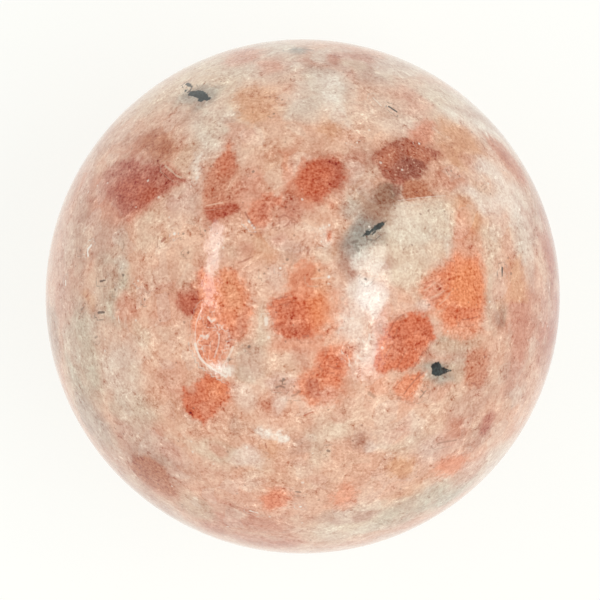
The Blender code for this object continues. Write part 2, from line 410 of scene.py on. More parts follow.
# Soft grains that lie under the others.
BASE_GRAINS = grain_rows(
    trapezoid_base=("terracotta", (287, 194, 293, 178, 300, 160, 313, 156, 328, 153, 340, 158, 347, 172,
        343, 186, 332, 194, 322, 203, 306, 206, 292, 203), 1.1, 0.8, 0.4, 50),
    central_upper=("coral", (289, 282, 291, 272, 300, 264, 312, 262, 319, 270, 328, 282, 337, 293, 341, 308,
        336, 322, 326, 333, 312, 336, 300, 326, 290, 305), 1.2, 0.7, 0.2),
    trapezoid_cap=("terracotta", (303, 161, 308, 153, 316, 149, 327, 151, 333, 155, 322, 158, 310, 164),
        0.8, 0.25, 0.6, 50),
    shoulder_haze=("copper", (138, 150, 141, 138, 150, 131, 162, 131, 171, 140, 174, 152, 166, 160,
        152, 158), 1.6),
    tan_top=("ochre", (234, 98, 240, 90, 254, 86, 270, 90, 276, 104, 268, 118, 252, 124, 240, 118),
        1.4, 0.75), tan_top_middle=("ochre", (318, 130, 328, 122, 342, 124, 344, 134, 332, 139), 1.2, 0.6),
    low_ochre=("ochre", (386, 466, 392, 461, 402, 458, 415, 462, 412, 474, 398, 478, 388, 473), 1),
    bottom_tan=("ochre", (260, 446, 266, 440, 276, 440, 280, 450, 272, 458, 262, 456), 0.9, 0.4),
    white_bar=("milk", (255, 431, 268, 430, 280, 434, 289, 438, 290, 441, 280, 442, 268, 438, 258, 435),
        0.6, 0.75, 0),
    mauve_spot=("dusk", (291, 437, 300, 440, 308, 441, 315, 447, 308, 451, 302, 456, 292, 452), 0.8, 0.7),
    mauve_spot_right=("dusk", (348, 441, 353, 436, 361, 433, 369, 438, 367, 446, 355, 448), 0.9, 0.8),
    right_rim_band=("rose", (510, 306, 520, 302, 529, 315, 531, 335, 524, 360, 518, 378, 508, 392, 501, 392,
        507, 370, 512, 345, 510, 325), 1.6, 0.85, 0.4, 85),
    upper_right_rim=("terracotta", (483, 135, 493, 137, 509, 152, 523, 172, 528, 187, 519, 181, 505, 164,
        493, 150), 1.1, 0.8),
    left_white_leaf=("milk", (192, 176, 194, 160, 198, 150, 202, 158, 200, 174, 196, 180), 0.8, 0.6, 0),
    bottom_orange_right=("coral", (332, 496, 340, 489, 348, 483, 355, 491, 353, 502, 343, 508, 333, 505),
        1.2, 0.6),
    low_right_orange=("coral", (434, 470, 440, 461, 452, 455, 468, 455, 463, 466, 452, 475, 442, 477),
        1.2, 0.7),
    small_rust_right=("terracotta", (449, 424, 456, 419, 463, 424, 462, 434, 455, 439, 449, 434), 1, 0.5),
    cream_grain=("cream", (384, 206, 400, 200, 425, 199, 450, 198, 458, 206, 458, 222, 450, 238, 446, 250,
        438, 262, 428, 274, 410, 278, 396, 272, 384, 262, 374, 250, 372, 238, 382, 228),
        1.6, 0.4, 0.3, -20),
    coral_above_orange=("coral", (452, 232, 456, 214, 463, 206, 471, 208, 474, 226, 475, 246, 462, 250),
        2, 0.22, 0.4, 80),
    middle_tan_grain=("ochre", (262, 150, 276, 142, 292, 146, 300, 158, 296, 176, 280, 186, 264, 178),
        1.6, 0.15),
    rose_under_trapezoid=("rose", (280, 202, 292, 190, 306, 198, 320, 204, 312, 214, 296, 222, 282, 218),
        1.6, 0.55),
    quartz_grain=("quartz", (232, 350, 240, 342, 256, 340, 268, 346, 270, 366, 264, 382, 246, 386,
        234, 376), 1.2, 0.15, 0.2),
    brown_smear=("mauve", (446, 354, 460, 350, 472, 350, 470, 362, 456, 366), 1.2, 0.6),
    upper_right_tan_grain=("ochre", (448, 134, 456, 126, 466, 130, 474, 146, 474, 164, 462, 172, 450, 160),
        1.4, 0.5, 0.4, 70),
    right_column=("ochre", (508, 262, 519, 258, 524, 276, 526, 300, 519, 306, 508, 300), 1.4, 0.8, 0.4, 85),
)

GRAINS = grain_rows(
    left_shoulder=("madder", (103, 180, 104, 172, 112, 165, 120, 162, 128, 160, 134, 158, 140, 163,
        143, 168, 150, 164, 165, 165, 178, 175, 186, 181, 174, 187, 166, 193, 158, 199, 147, 206, 139, 215,
        132, 222, 125, 221, 118, 210, 108, 197), 0.9, 1, 0.3, 40),
    tall_pentagon=("terracotta", (229, 139, 232, 150, 236, 160, 240, 170, 238, 186, 238, 206, 230, 215,
        214, 221, 206, 214, 203, 198, 204, 186, 206, 177, 210, 168, 218, 158, 226, 151),
        0.6, 0.85, 0.4, 80),
    small_ragged=("rust", (249, 208, 254, 203, 260, 198, 264, 195, 271, 194, 275, 198, 281, 195, 283, 201,
        279, 206, 273, 208, 271, 214, 268, 219, 270, 224, 262, 227, 254, 227, 250, 222, 247, 216),
        0.6, 0.7),
    trapezoid=("brick", (297, 184, 300, 176, 303, 169, 311, 164, 322, 160, 332, 158, 338, 162, 341, 168,
        342, 176, 341, 183, 337, 186, 331, 189, 325, 197, 316, 201, 308, 199, 301, 194),
        0.35, 0.97, 0.4, 50),
    plum_glitter=("plum", (372, 159, 376, 153, 384, 147, 394, 142, 404, 139, 417, 139, 425, 145, 437, 151,
        437, 157, 428, 163, 426, 170, 420, 178, 410, 182, 401, 187, 391, 185, 383, 178, 378, 167),
        0.5, 0.95),
    plum_cap=("rust", (408, 142, 411, 132, 417, 124, 425, 120, 433, 122, 435, 132, 432, 142, 424, 146),
        1, 0.55),
    umber_block=("umber", (372, 194, 377, 186, 388, 182, 401, 184, 402, 191, 400, 199, 388, 203, 375, 201),
        0.7, 0.95, 0.2),
    copper_block=("copper", (401, 180, 412, 178, 422, 180, 428, 187, 433, 196, 420, 199, 408, 200,
        402, 198), 0.5),
    bright_orange=("coral", (458, 246, 464, 232, 472, 224, 478, 238, 481, 256, 483, 276, 484, 304, 481, 320,
        473, 333, 460, 338, 447, 332, 441, 320, 439, 309, 431, 304, 424, 298, 420, 290, 424, 281, 432, 275,
        442, 269, 451, 259), 1.2, 1, 0.6, -30),
    central_lower=("rust", (267, 308, 272, 301, 280, 297, 292, 296, 306, 299, 318, 303, 322, 312, 319, 322,
        313, 330, 308, 338, 296, 340, 284, 339, 276, 331, 271, 321), 0.6, 0.9, 0.5, 35),
    under_highlight=("coral", (193, 312, 192, 292, 194, 276, 201, 271, 213, 280, 224, 270, 236, 272,
        243, 284, 249, 298, 251, 314, 246, 330, 240, 338, 232, 344, 224, 354, 216, 364, 208, 364, 199, 354,
        195, 340, 193, 326), 0.8, 0.95, 0.25),
    dark_brick=("brick", (176, 300, 182, 291, 190, 288, 200, 286, 201, 300, 199, 314, 188, 316, 180, 312),
        0.7, 0.85),
    parallelogram=("rust", (393, 320, 403, 316, 411, 313, 419, 314, 428, 318, 433, 329, 435, 338, 428, 346,
        424, 353, 418, 362, 409, 369, 396, 371, 378, 374, 374, 363, 377, 350, 381, 339, 384, 329),
        0.6, 0.97, 0.9, 57),
    parallelogram_foot=("coral", (393, 389, 399, 381, 407, 376, 418, 373, 424, 375, 420, 385, 414, 393,
        411, 401, 404, 398, 397, 394), 0.6, 0.9, 0.9, 57),
    soft_red=("coral", (321, 352, 330, 347, 342, 345, 352, 350, 353, 360, 344, 366, 342, 378, 340, 392,
        334, 401, 320, 404, 313, 408, 304, 398, 298, 392, 298, 381, 305, 372, 314, 370, 318, 362),
        1, 0.9, 0.5, 88),
    lower_left_polygon=("rust", (201, 380, 206, 374, 214, 376, 222, 379, 228, 384, 230, 394, 228, 401,
        220, 408, 211, 418, 204, 425, 198, 421, 191, 418, 184, 408, 182, 397, 183, 388, 192, 384),
        0.5, 0.95, 0.7),
    right_rose_block=("terracotta", (467, 355, 472, 350, 482, 348, 488, 353, 489, 364, 487, 376, 484, 385,
        474, 388, 466, 382, 465, 368), 0.7, 0.75, 0.4, 85),
    lower_left_rim=("copper", (128, 466, 134, 455, 148, 455, 165, 468, 173, 486, 179, 497, 168, 496,
        152, 488, 138, 478), 0.9),
    bottom_orange=("coral", (261, 497, 269, 490, 280, 488, 288, 492, 290, 499, 284, 506, 272, 511,
        262, 509), 0.9, 0.85, 0.5),
    small_plum=("madder", (483, 418, 490, 412, 495, 416, 491, 426, 486, 435, 480, 438, 478, 430), 0.9, 0.8),
    red_fleck=("terracotta", (260, 404, 265, 401, 271, 403, 273, 409, 266, 412, 261, 409), 0.5, 0.7),
)

# These lie over the grains above: deeper middles, and the black iron grains.
UPPER_GRAINS = grain_rows(
    pentagon_foot=("brick", (205, 209, 222, 205, 237, 203, 239, 210, 230, 215, 222, 218, 214, 223,
        208, 221), 0.45, 0.9, 0.5, 20),
    shoulder_heart=("brick", (114, 188, 122, 182, 136, 178, 148, 184, 158, 192, 156, 200, 148, 205,
        138, 204, 124, 199), 1.3, 0.75, 0.3, 20),
    pentagon_top=("rust", (217, 164, 219, 156, 228, 148, 233, 156, 234, 168, 226, 176, 218, 174),
        1.3, 0.46, 0.5, 80),
    ragged_heart=("brick", (259, 208, 263, 203, 268, 205, 267, 214, 265, 221, 260, 220), 0.6, 0.5),
    trapezoid_corner=("brick", (334, 164, 341, 164, 344, 172, 342, 183, 335, 184, 332, 174), 0.7, 0.3),
    plum_heart=("dark_plum", (402, 160, 412, 156, 423, 160, 424, 170, 416, 177, 404, 178, 396, 172),
        1.1, 0.45),
    plum_lobe=("terracotta", (404, 143, 418, 139, 430, 146, 438, 153, 430, 162, 418, 163, 408, 157),
        1.3, 0.6),
    plum_left=("terracotta", (376, 160, 382, 153, 390, 147, 398, 150, 396, 160, 386, 168), 1.1, 0.6),
    umber_heart=("bistre", (391, 187, 398, 186, 401, 192, 398, 198, 391, 197), 0.6, 0.37, 0),
    umber_tail=("umber", (374, 202, 384, 199, 396, 200, 390, 210, 380, 216, 370, 214), 1, 0.37, 0),
    orange_heart=("orange", (449, 284, 456, 270, 468, 262, 480, 270, 482, 292, 476, 306, 460, 308,
        450, 300), 1.5, 0.75, 0.6, -30),
    orange_low=("rust", (448, 310, 458, 306, 472, 308, 478, 316, 474, 321, 460, 320, 450, 318),
        0.7, 0.46, 0.6, 10),
    central_top=("terracotta", (288, 284, 292, 275, 300, 268, 308, 266, 311, 276, 304, 284, 294, 292),
        0.9, 0.4),
    central_amber=("orange", (308, 300, 318, 292, 326, 296, 330, 308, 326, 322, 316, 328, 310, 316),
        1, 0.6),
    central_left_heart=("brick", (281, 304, 288, 301, 297, 306, 296, 314, 286, 314, 281, 310), 0.8, 0.31),
    central_low_heart=("brick", (276, 324, 286, 322, 298, 326, 308, 332, 306, 338, 290, 339, 280, 333),
        0.8, 0.37),
    highlight_orange=("ochre", (222, 272, 232, 276, 240, 288, 243, 302, 238, 312, 228, 306, 222, 290),
        1.2, 0.37),
    highlight_low_brown=("rose", (232, 330, 240, 322, 246, 330, 240, 338, 232, 343, 228, 338), 0.9, 0.46),
    brick_heart=("brick", (184, 296, 192, 294, 199, 296, 198, 308, 190, 312, 184, 306), 0.9, 0.8),
    parallelogram_heart=("brick", (396, 330, 404, 326, 408, 334, 404, 346, 396, 350, 392, 340),
        1, 0.31, 0.9, 57),
    parallelogram_right=("brick", (422, 326, 428, 330, 431, 338, 424, 342, 420, 334), 0.8, 0.37),
    red_heart=("brick", (320, 353, 326, 349, 330, 352, 330, 359, 323, 361, 320, 358), 0.4, 0.35),
    red_middle=("rust", (319, 352, 330, 350, 341, 358, 344, 372, 336, 382, 324, 380, 317, 368),
        1, 0.85, 0.5, 88),
    red_low=("madder", (306, 378, 316, 380, 319, 392, 316, 402, 309, 396, 305, 388), 0.7, 0.6, 0.6, 88),
    polygon_left=("brick", (184, 394, 192, 388, 200, 392, 202, 404, 196, 414, 188, 410), 1, 0.25),
    polygon_amber=("orange", (208, 382, 218, 381, 226, 387, 226, 397, 216, 401, 209, 394), 1.1, 0.37),
    bottom_orange_heart=("rust", (264, 498, 272, 494, 283, 498, 280, 505, 268, 508), 0.8, 0.31),
    upper_left_black=("black", (184, 91, 187, 89, 190, 92, 194, 91, 199, 90, 204, 92, 208, 95, 210, 99,
        207, 102, 203, 100, 200, 103, 197, 98, 192, 97, 188, 95), 0.12, 1, 0, 60, 0.2),
    needle=("black", (360, 237, 366, 232, 372, 227, 378, 223, 386, 221, 384, 225, 379, 230, 373, 233,
        366, 236), 0.15, 0.97, 0, 60, 0.2),
    black_dot=("black", (431, 370, 431, 366, 434, 363, 438, 362.5, 442, 366, 446, 369, 452, 371, 446, 373,
        442, 374, 440, 377, 436, 378, 432, 375), 0.12, 1, 0, 60, 0.2),
)

# Where a grain pales, and where its tint shifts.
GRAIN_CLOUDS = cloud_rows(
    shoulder_tail=("salmon", 136, 218, 30, 20, 0.85), shoulder_left_pale=("faded", 110, 174, 20, 26, 0.35),
    shoulder_right_pale=("faded", 158, 207, 14, 18, 0.4), shoulder_orange=("rust", 152, 198, 14, 16, 0.25),
    pentagon_pale_side=("faded", 236, 180, 12, 40, 0.45), pentagon_glow=("salmon", 222, 186, 40, 72, 0.2),
    ragged_glow=("salmon", 262, 213, 24, 24, 0.25), foot_right=("terracotta", 228, 210, 18, 14, 0.8),
    trapezoid_left=("rust", 311, 178, 42, 46, 0.65), umber_edge=("madder", 399, 190, 10, 22, 0.6),
    orange_left=("salmon", 434, 292, 24, 26), orange_top_pale=("faded", 469, 230, 32, 44, 0.8),
    coral_right_pale=("faded", 482, 262, 8, 26, 0.5), orange_bottom=("peach", 460, 328, 34, 18, 0.35),
    central_right_pale=("faded", 336, 300, 20, 60, 0.4), central_ochre=("ochre", 324, 280, 28, 38, 0.6),
    upper_right_tan_dark=("terracotta", 472, 166, 16, 18, 0.55),
    orange_top_coral=("coral", 467, 247, 30, 26, 0.45), orange_top=("peach", 468, 246, 34, 24, 0.5),
    central_amber_bright=("peach", 329, 310, 20, 32, 0.35),
    central_left_salmon=("salmon", 276, 314, 12, 22, 0.5),
    central_low_pale=("faded", 322, 330, 18, 12, 0.6),
    parallelogram_left=("coral", 385, 352, 10, 34, 0.7, 20),
    parallelogram_top=("terracotta", 400, 320, 16, 10, 0.6),
    red_right_pale=("salmon", 347, 356, 14, 20, 0.6), red_low_pale=("salmon", 328, 394, 22, 20, 0.9),
    highlight_left=("terracotta", 196, 277, 16, 40), highlight_right_rose=("rose", 241, 318, 18, 30, 0.5),
    net_side_salmon=("salmon", 227, 340, 20, 28, 0.5), net_rose=("rose", 211, 336, 26, 42, 0.4),
    polygon_left_pale=("faded", 190, 388, 14, 20, 0.5), polygon_coral=("coral", 204, 398, 34, 32, 0.35),
    rim_band_pale=("faded", 512, 380, 20, 40, 0.5, 20),
)

# Where the polish is worn, so that a lamp's reflection breaks up. The same patches get white squiggles of
# painted reflection in the colour.
WORN = cloud_rows(
    net=("worn", 211, 336, 36, 60, 1), right_upper=("worn", 368, 262, 40, 50, 1),
    right_middle=("worn", 356, 340, 40, 70, 0.9),
)

# Thin lines and dots.
MARKS = mark_rows(
    top_dash=("black", 2, 0.9, 389, 107, 396.5, 112), right_dash=("black", 1.9, 0.9, 502, 268, 502, 276),
    left_dash_high=("bistre", 1.8, 0.9, 100, 281.5, 105, 280.5),
    left_dash_low=("bistre", 2.2, 0.9, 98, 313, 104, 312.5), blob_spot=("black", 4, 0.9, 187, 84, 190, 86),
    blob_tail=("black", 2, 0.8, 191, 89, 189, 92), streak_at_top=("slate", 4, 0.5, 290, 50, 312, 50),
    needle_side=("black", 1.6, 0.8, 372, 235, 375, 232),
    needle_low_spot=("bistre", 3.4, 0.55, 353, 243, 357, 241),
    needle_low_spot_two=("bistre", 3, 0.5, 356, 247, 358, 251), needle_white=("milk", 2.2, 0.8, 369, 227),
    highlight_dot=("bistre", 3, 0.7, 365.5, 279.5), left_dot=("bistre", 3, 0.8, 123, 275.5),
    left_dot_two=("bistre", 2.4, 0.7, 144.5, 299.5), left_dot_three=("bistre", 2.6, 0.6, 80, 250.5),
    left_dot_four=("bistre", 2.4, 0.6, 188, 253), left_dot_five=("bistre", 2.2, 0.5, 115, 290),
    left_dot_six=("bistre", 2.2, 0.5, 183, 234), left_dot_seven=("bistre", 2.4, 0.7, 205, 231),
    left_red_dot=("plum", 2.8, 0.7, 161.5, 241.5, 164.5, 239),
    left_curl=("plum", 1.6, 0.7, 85.5, 297.5, 88, 294),
    left_curl_two=("bistre", 1.8, 0.5, 81, 310, 84, 307),
    left_mauve_line=("umber", 2, 0.5, 123, 241, 124, 246, 122, 251),
    left_white=("white", 2.4, 0.9, 91, 245.5, 87, 250, 88, 256),
    left_white_low=("white", 2, 0.9, 65.5, 281, 65.5, 285), left_white_dot=("white", 3.2, 0.9, 174, 234),
    left_small_white=("milk", 2.2, 0.8, 138, 281), left_white_line=("milk", 1.2, 0.7, 118, 316, 119, 323),
    low_dot=("bistre", 2, 0.5, 95, 338, 97, 337), top_spot=("bistre", 2.2, 0.6, 268, 43),
    top_spot_two=("bistre", 2.6, 0.6, 274, 114), top_spot_three=("bistre", 2, 0.5, 282, 100),
    haze_dot=("plum", 2.6, 0.6, 153, 145), pentagon_line=("peach", 1.6, 0.7, 206, 206, 222, 203),
    shoulder_line=("cream", 1.8, 0.5, 165, 166, 171, 171, 176, 176, 181, 178),
    junction_white=("milk", 4, 0.7, 197, 178), ragged_line=("plum", 1.6, 0.7, 245, 213, 249, 220, 255, 228),
    ragged_sliver=("white", 1.8, 0.8, 248, 221, 252, 226, 255, 230),
    ring_curl=("plum", 1.6, 0.5, 279, 224, 279, 218, 284, 215, 289, 218, 289, 224, 284, 227),
    ring_arc=("plum", 1.6, 0.5, 290, 218, 294, 220, 297, 223),
    tan_curl=("plum", 1.6, 0.5, 305, 247, 309, 250, 307, 255), tan_dot=("plum", 2.4, 0.5, 256, 233),
    tan_dot_two=("plum", 2.4, 0.5, 261, 233), salmon_line=("plum", 1.6, 0.5, 238, 263, 245, 261, 252, 257),
    middle_dot=("bistre", 2.4, 0.5, 264, 274), middle_dot_two=("bistre", 2.8, 0.5, 287, 260),
    middle_white_dot=("milk", 2.4, 0.8, 280, 268.5), pink_white_dot=("milk", 2.4, 0.8, 329, 225.5),
    pink_white_dot_two=("milk", 2, 0.7, 320, 229), pink_white_dot_three=("milk", 2, 0.7, 321, 242),
    pentagon_side_dot=("bistre", 2.8, 0.6, 253, 172), amber_bright_dot=("white", 3, 0.9, 328.5, 277.5),
    amber_bright_line=("peach", 1.4, 0.8, 311, 279.5, 327, 277.5),
    central_top_line=("plum", 1.6, 0.45, 274, 300, 280, 298, 287, 297),
    central_white=("milk", 3.4, 0.7, 266, 320, 266, 325),
    # The peach and white dots on the plum grain, from the end of this line on, are painted glints of the
    # grain's platelets.
    central_low_dots=("plum", 2.2, 0.5, 303, 337, 308, 336), plum_glitter_one=("peach", 1.9, 0.7, 389, 155),
    plum_glitter_two=("peach", 1.9, 0.7, 411, 157), plum_glitter_three=("peach", 1.6, 0.6, 394, 152),
    plum_glitter_four=("peach", 1.7, 0.6, 414, 163), plum_glitter_five=("peach", 1.9, 0.6, 398, 168),
    plum_glitter_six=("peach", 1.8, 0.6, 423, 171), plum_glitter_seven=("white", 2.2, 0.8, 419, 144),
    plum_glitter_fine_1=("peach", 1.5, 0.55, 385, 166), plum_glitter_fine_2=("peach", 1.5, 0.55, 392, 160),
    plum_glitter_fine_3=("peach", 1.5, 0.55, 402, 150), plum_glitter_fine_4=("peach", 1.5, 0.55, 407, 166),
    plum_glitter_fine_5=("peach", 1.5, 0.55, 416, 153), plum_glitter_fine_6=("peach", 1.5, 0.55, 418, 168),
    plum_glitter_fine_7=("peach", 1.5, 0.55, 408, 173), plum_glitter_fine_8=("peach", 1.5, 0.55, 424, 156),
    plum_glitter_fine_9=("peach", 1.5, 0.55, 430, 151), plum_glitter_fine_10=("peach", 1.5, 0.55, 381, 158),
    plum_glitter_fine_11=("peach", 1.5, 0.55, 395, 175),
    plum_white_line=("milk", 1.2, 0.35, 398, 201, 408, 199.5, 420, 198, 445, 196),
    plum_side_dot=("bistre", 2.6, 0.5, 451, 171), plum_side_red=("plum", 1.4, 0.5, 360, 138, 365, 138),
    plum_side_white=("milk", 2.2, 0.8, 357, 143), top_scratch=("milk", 1.6, 0.6, 373, 98, 381, 106),
    small_ring=("umber", 1.4, 0.4, 481, 187, 484, 184, 487, 187, 484, 190),
    orange_boundary=("rust", 1.4, 0.5, 450, 262, 450, 280, 449, 300),
    orange_pale_line=("peach", 1.6, 0.55, 424, 291, 430, 287, 435, 283),
    orange_pale_line_two=("peach", 1.6, 0.55, 431, 298, 440, 294, 448, 289),
    orange_pale_line_three=("peach", 1.5, 0.5, 439, 305, 445, 300, 450, 293),
    orange_line=("plum", 1.4, 0.5, 462, 320, 470, 319, 477, 317),
    orange_wave=("brick", 1.4, 0.5, 424, 284, 429, 283, 433, 281),
    orange_wave_two=("brick", 1.4, 0.4, 430, 301, 440, 298, 447, 290),
    orange_dot=("plum", 2, 0.4, 450, 260), orange_dot_two=("plum", 2, 0.4, 457, 290),
    right_dot=("bistre", 2.4, 0.5, 511, 274), right_red_spot=("plum", 2.6, 0.4, 491, 246),
    rim_line=("umber", 1.4, 0.4, 534, 196, 535, 215, 534, 240),
    brown_hook=("plum", 1.8, 0.45, 390, 331, 393, 324, 399, 317, 403, 315),
    striation=("plum", 1.6, 0.45, 412, 370, 418, 361, 423, 352),
    striation_two=("plum", 1.4, 0.35, 397, 369, 401, 360, 405, 352),
    striation_three=("plum", 1.4, 0.35, 385, 357, 389, 350, 394, 344),
    foot_line=("plum", 1.8, 0.55, 404, 394, 409, 387, 415, 380, 423, 373),
    foot_line_two=("plum", 1.5, 0.4, 394, 388, 400, 381),
    foot_curl=("bistre", 1.3, 0.5, 420, 398, 424, 393, 421, 391),
    foot_smudge=("umber", 3.6, 0.5, 369, 394, 374, 397), halo_dot=("bistre", 1.6, 0.5, 447, 366.5),
    halo_dot_two=("bistre", 2.4, 0.4, 443, 379), block_dot=("plum", 2.4, 0.6, 471.5, 383.5, 475, 384),
    under_line=("umber", 1.8, 0.5, 437, 444, 445, 442, 456, 440.5),
    red_line=("brick", 1.6, 0.6, 327, 366, 334, 368, 341, 369),
    red_line_low=("brick", 1.8, 0.5, 316, 380, 318, 388, 318, 396), grey_dot=("bistre", 3, 0.7, 283, 379.5),
    grey_curl=("bistre", 1.8, 0.5, 276, 388, 280, 386, 284, 388),
    grey_curl_two=("umber", 2.6, 0.5, 292, 396, 296, 395, 299, 392),
    quartz_dot=("bistre", 2.8, 0.7, 249, 347), quartz_dot_two=("bistre", 2.4, 0.6, 229, 360),
    low_red_line=("brick", 1.8, 0.6, 304, 416, 309, 413.5, 313, 412.5),
    low_brown_dot=("bistre", 2.6, 0.6, 327.5, 451, 329, 451.5),
    low_brown_dot_two=("bistre", 2.2, 0.6, 296, 492, 300, 492.5),
    low_white_dot=("white", 3.2, 0.9, 300.5, 507), low_white_dash=("milk", 2.4, 0.8, 250, 511, 257, 513),
    low_plum_dot=("plum", 2.6, 0.4, 301.5, 516), tan_brown_line=("plum", 1.5, 0.6, 265, 444, 266, 448),
    bottom_line=("rose", 1.8, 0.8, 270, 534, 284, 535, 299, 538),
    # The milk marks from here to the end are painted reflection: the white net that the left lamp's
    # reflection breaks into where the polish is worn.
    net_left=("milk", 1.3, 0.4, 202, 308, 199, 315, 196, 323, 195, 332, 195, 341),
    net_low=("milk", 2.4, 0.8, 195, 344, 197, 352, 200, 358, 204, 363, 210, 368, 217, 372, 226, 377),
    net_blob=("milk", 2.6, 0.6, 201, 336, 204, 337), net_blob_low=("milk", 2.2, 0.5, 206, 339, 208, 336),
    net_blob_two=("milk", 2.4, 0.6, 208, 318, 211, 322, 214, 320),
    net_right_low=("milk", 1.6, 0.4, 219, 334, 218.5, 344, 216, 352, 214, 358),
    net_streak=("milk", 2, 0.45, 233, 347, 230, 354, 223, 366),
    net_streak_two=("milk", 2.4, 0.7, 229, 371, 230, 376),
)


def sphere_point(x, y):
    """The direction from the ball's middle to what the photograph shows at this pixel.

    Past the ball's outline the place folds round the rim, onto the half that the photograph hides."""
    right, up = (x - PHOTO_BALL_X) / PHOTO_BALL_RADIUS, (PHOTO_BALL_Y - y) / PHOTO_BALL_RADIUS
    out = math.hypot(right, up)
    rim_angle = math.acos(BALL_RADIUS / CAMERA_DISTANCE)
    folded = out > 1.0
    out_seen = min(2.0 - out, 1.0) if folded else out
    sight = math.atan(out_seen * BALL_RADIUS / math.sqrt(CAMERA_DISTANCE**2 - BALL_RADIUS**2))
    polar = math.asin(min(1.0, CAMERA_DISTANCE * math.sin(sight) / BALL_RADIUS)) - sight
    if folded:
        polar = 2 * rim_angle - polar
    around = math.atan2(up, right)
    return Vector((math.sin(polar) * math.cos(around), math.sin(polar) * math.sin(around), math.cos(polar)))


class Chart:
    """A flat map of the ball round one direction, in millimetres, its axes turned by an angle."""

    def __init__(self, middle, turn=0.0):
        self.middle = middle.normalized()
        right = Vector((1.0, 0.0, 0.0))
        right = (right - self.middle * right.dot(self.middle)).normalized()
        up = self.middle.cross(right)
        self.right = right * math.cos(turn) + up * math.sin(turn)
        self.up = up * math.cos(turn) - right * math.sin(turn)

    def flatten(self, directions):
        """Places on the map of an array of directions, with true distances from its middle."""
        along = directions @ np.array(self.middle)
        flat = np.stack([directions @ np.array(self.right), directions @ np.array(self.up)], axis=1)
        length = np.linalg.norm(flat, axis=1) + TINY
        reach = np.arctan2(length, along) * BALL_RADIUS / MM
        return flat * (reach / length)[:, None]


def depth_inside(places, outline):
    """How far each flat place lies inside a closed outline, less than zero outside it."""
    nearest = np.full(len(places), np.inf)
    inside = np.zeros(len(places), bool)
    for start, end in zip(outline, np.roll(outline, -1, axis=0)):
        edge = end - start
        step = np.clip(((places - start) @ edge) / (edge @ edge), 0.0, 1.0)
        nearest = np.minimum(nearest, np.linalg.norm(places - (start + step[:, None] * edge), axis=1))
        spans = (start[1] > places[:, 1]) != (end[1] > places[:, 1])
        rise = end[1] - start[1] if end[1] != start[1] else TINY
        inside ^= spans & (places[:, 0] < start[0] + (places[:, 1] - start[1]) / rise * edge[0])
    return np.where(inside, nearest, -nearest)


class Surface:
    """The ball's points, and what each of them carries for the material."""

    # In millimetres: a depth beyond every grain, and how far marks and grains reach past their outlines.
    FAR = 12.0
    MARK_REACH = 0.8
    GRAIN_REACH = 3.0
    # In parts of a patch's half size: where its soft edge ends, how wide it is, and how far a patch reaches.
    EDGE_END = 1.30
    EDGE_WIDTH = 0.8
    EDGE_REACH = 1.4

    def __init__(self, directions, tints):
        self.directions = directions
        self.tints = tints
        self.count = len(directions)
        self.bent = bend(bend(directions, 3.5, 0.9), 1.3, 0.5)

    def colour(self, name):
        return np.array(getattr(self.tints, name))

    def within(self, middle, reach):
        """Which points lie within a reach, in millimetres, of a direction."""
        return np.nonzero(self.directions @ np.array(middle) > math.cos(reach * MM / BALL_RADIUS))[0]

    def cover(self, patch):
        """How strongly a soft patch covers each point, between 0 and its strength."""
        reach = self.EDGE_REACH * max(patch.width, patch.height) * MM / BALL_RADIUS
        close = np.nonzero(self.bent @ np.array(patch.middle) > math.cos(min(reach, math.pi)))[0]
        places = Chart(patch.middle, patch.turn).flatten(self.bent[close])
        out = np.hypot(places[:, 0] / patch.width, places[:, 1] / patch.height)
        part = np.clip((self.EDGE_END - out) / self.EDGE_WIDTH, 0.0, 1.0)
        cover = np.zeros(self.count)
        cover[close] = part * part * (3 - 2 * part) * patch.strength
        return cover

    def lay_clouds(self, colour, patches):
        """The colours with each patch laid over them in turn."""
        for patch in patches:
            colour += (self.colour(patch.tint) - colour) * self.cover(patch)[:, None]
        return colour

    def most_covered(self, patches):
        """How strongly each point is covered by whichever patch covers it most."""
        return np.max([self.cover(patch) for patch in patches], axis=0)

    def lay_grains(self, grains):
        """For each point, the nearest grain's depth, tint, habit and cleavage.

        Each grain comes with its corners' directions."""
        depth = np.full(self.count, -self.FAR)
        colour = np.zeros((self.count, 4))
        habit = np.zeros((self.count, 3))
        cleavage = np.zeros((self.count, 3))
        for grain, corners in grains:
            middle = sum(corners, Vector()) / len(corners)
            chart = Chart(middle)
            outline = chart.flatten(np.array(corners))
            reach = np.linalg.norm(outline, axis=1).max() + self.GRAIN_REACH
            close = self.within(chart.middle, reach)
            inside = depth_inside(chart.flatten(self.directions[close]), outline)
            wins = inside > depth[close]
            close = close[wins]
            depth[close] = inside[wins]
            colour[close, :3] = self.colour(grain.tint)
            colour[close, 3] = grain.strength
            habit[close] = (grain.border, grain.lines, grain.mottle)
            turn = math.radians(grain.angle)
            line = chart.right * math.cos(turn) + chart.up * math.sin(turn)
            cleavage[close] = np.array(line.cross(chart.middle).normalized())
        return depth, colour, habit, cleavage

    def lay_marks(self, marks):
        """For each point, its place along and across the nearest mark, with the mark's half sizes and tint.

        Each mark comes with its places' directions."""
        nearest = np.full(self.count, self.MARK_REACH)
        place = np.full((self.count, 3), self.FAR)
        half_length = np.zeros(self.count)
        colour = np.zeros((self.count, 4))
        for mark, stops in marks:
            chart = Chart(sum(stops, Vector()) / len(stops))
            line = chart.flatten(np.array(stops))
            reach = np.linalg.norm(line, axis=1).max() + self.MARK_REACH
            close = self.within(chart.middle, reach)
            places = chart.flatten(self.directions[close])
            steps = np.linalg.norm(np.diff(line, axis=0), axis=1) if len(line) > 1 else np.zeros(1)
            along, across, distance = along_and_across(places, line, steps)
            wins = distance < nearest[close]
            close = close[wins]
            nearest[close] = distance[wins]
            place[close, 0] = along[wins] - steps.sum() / 2
            place[close, 1] = across[wins]
            place[close, 2] = mark.width / 2 * MM_PER_PIXEL
            half_length[close] = steps.sum() / 2
            colour[close, :3] = self.colour(mark.tint)
            colour[close, 3] = mark.strength
        return place, half_length, colour


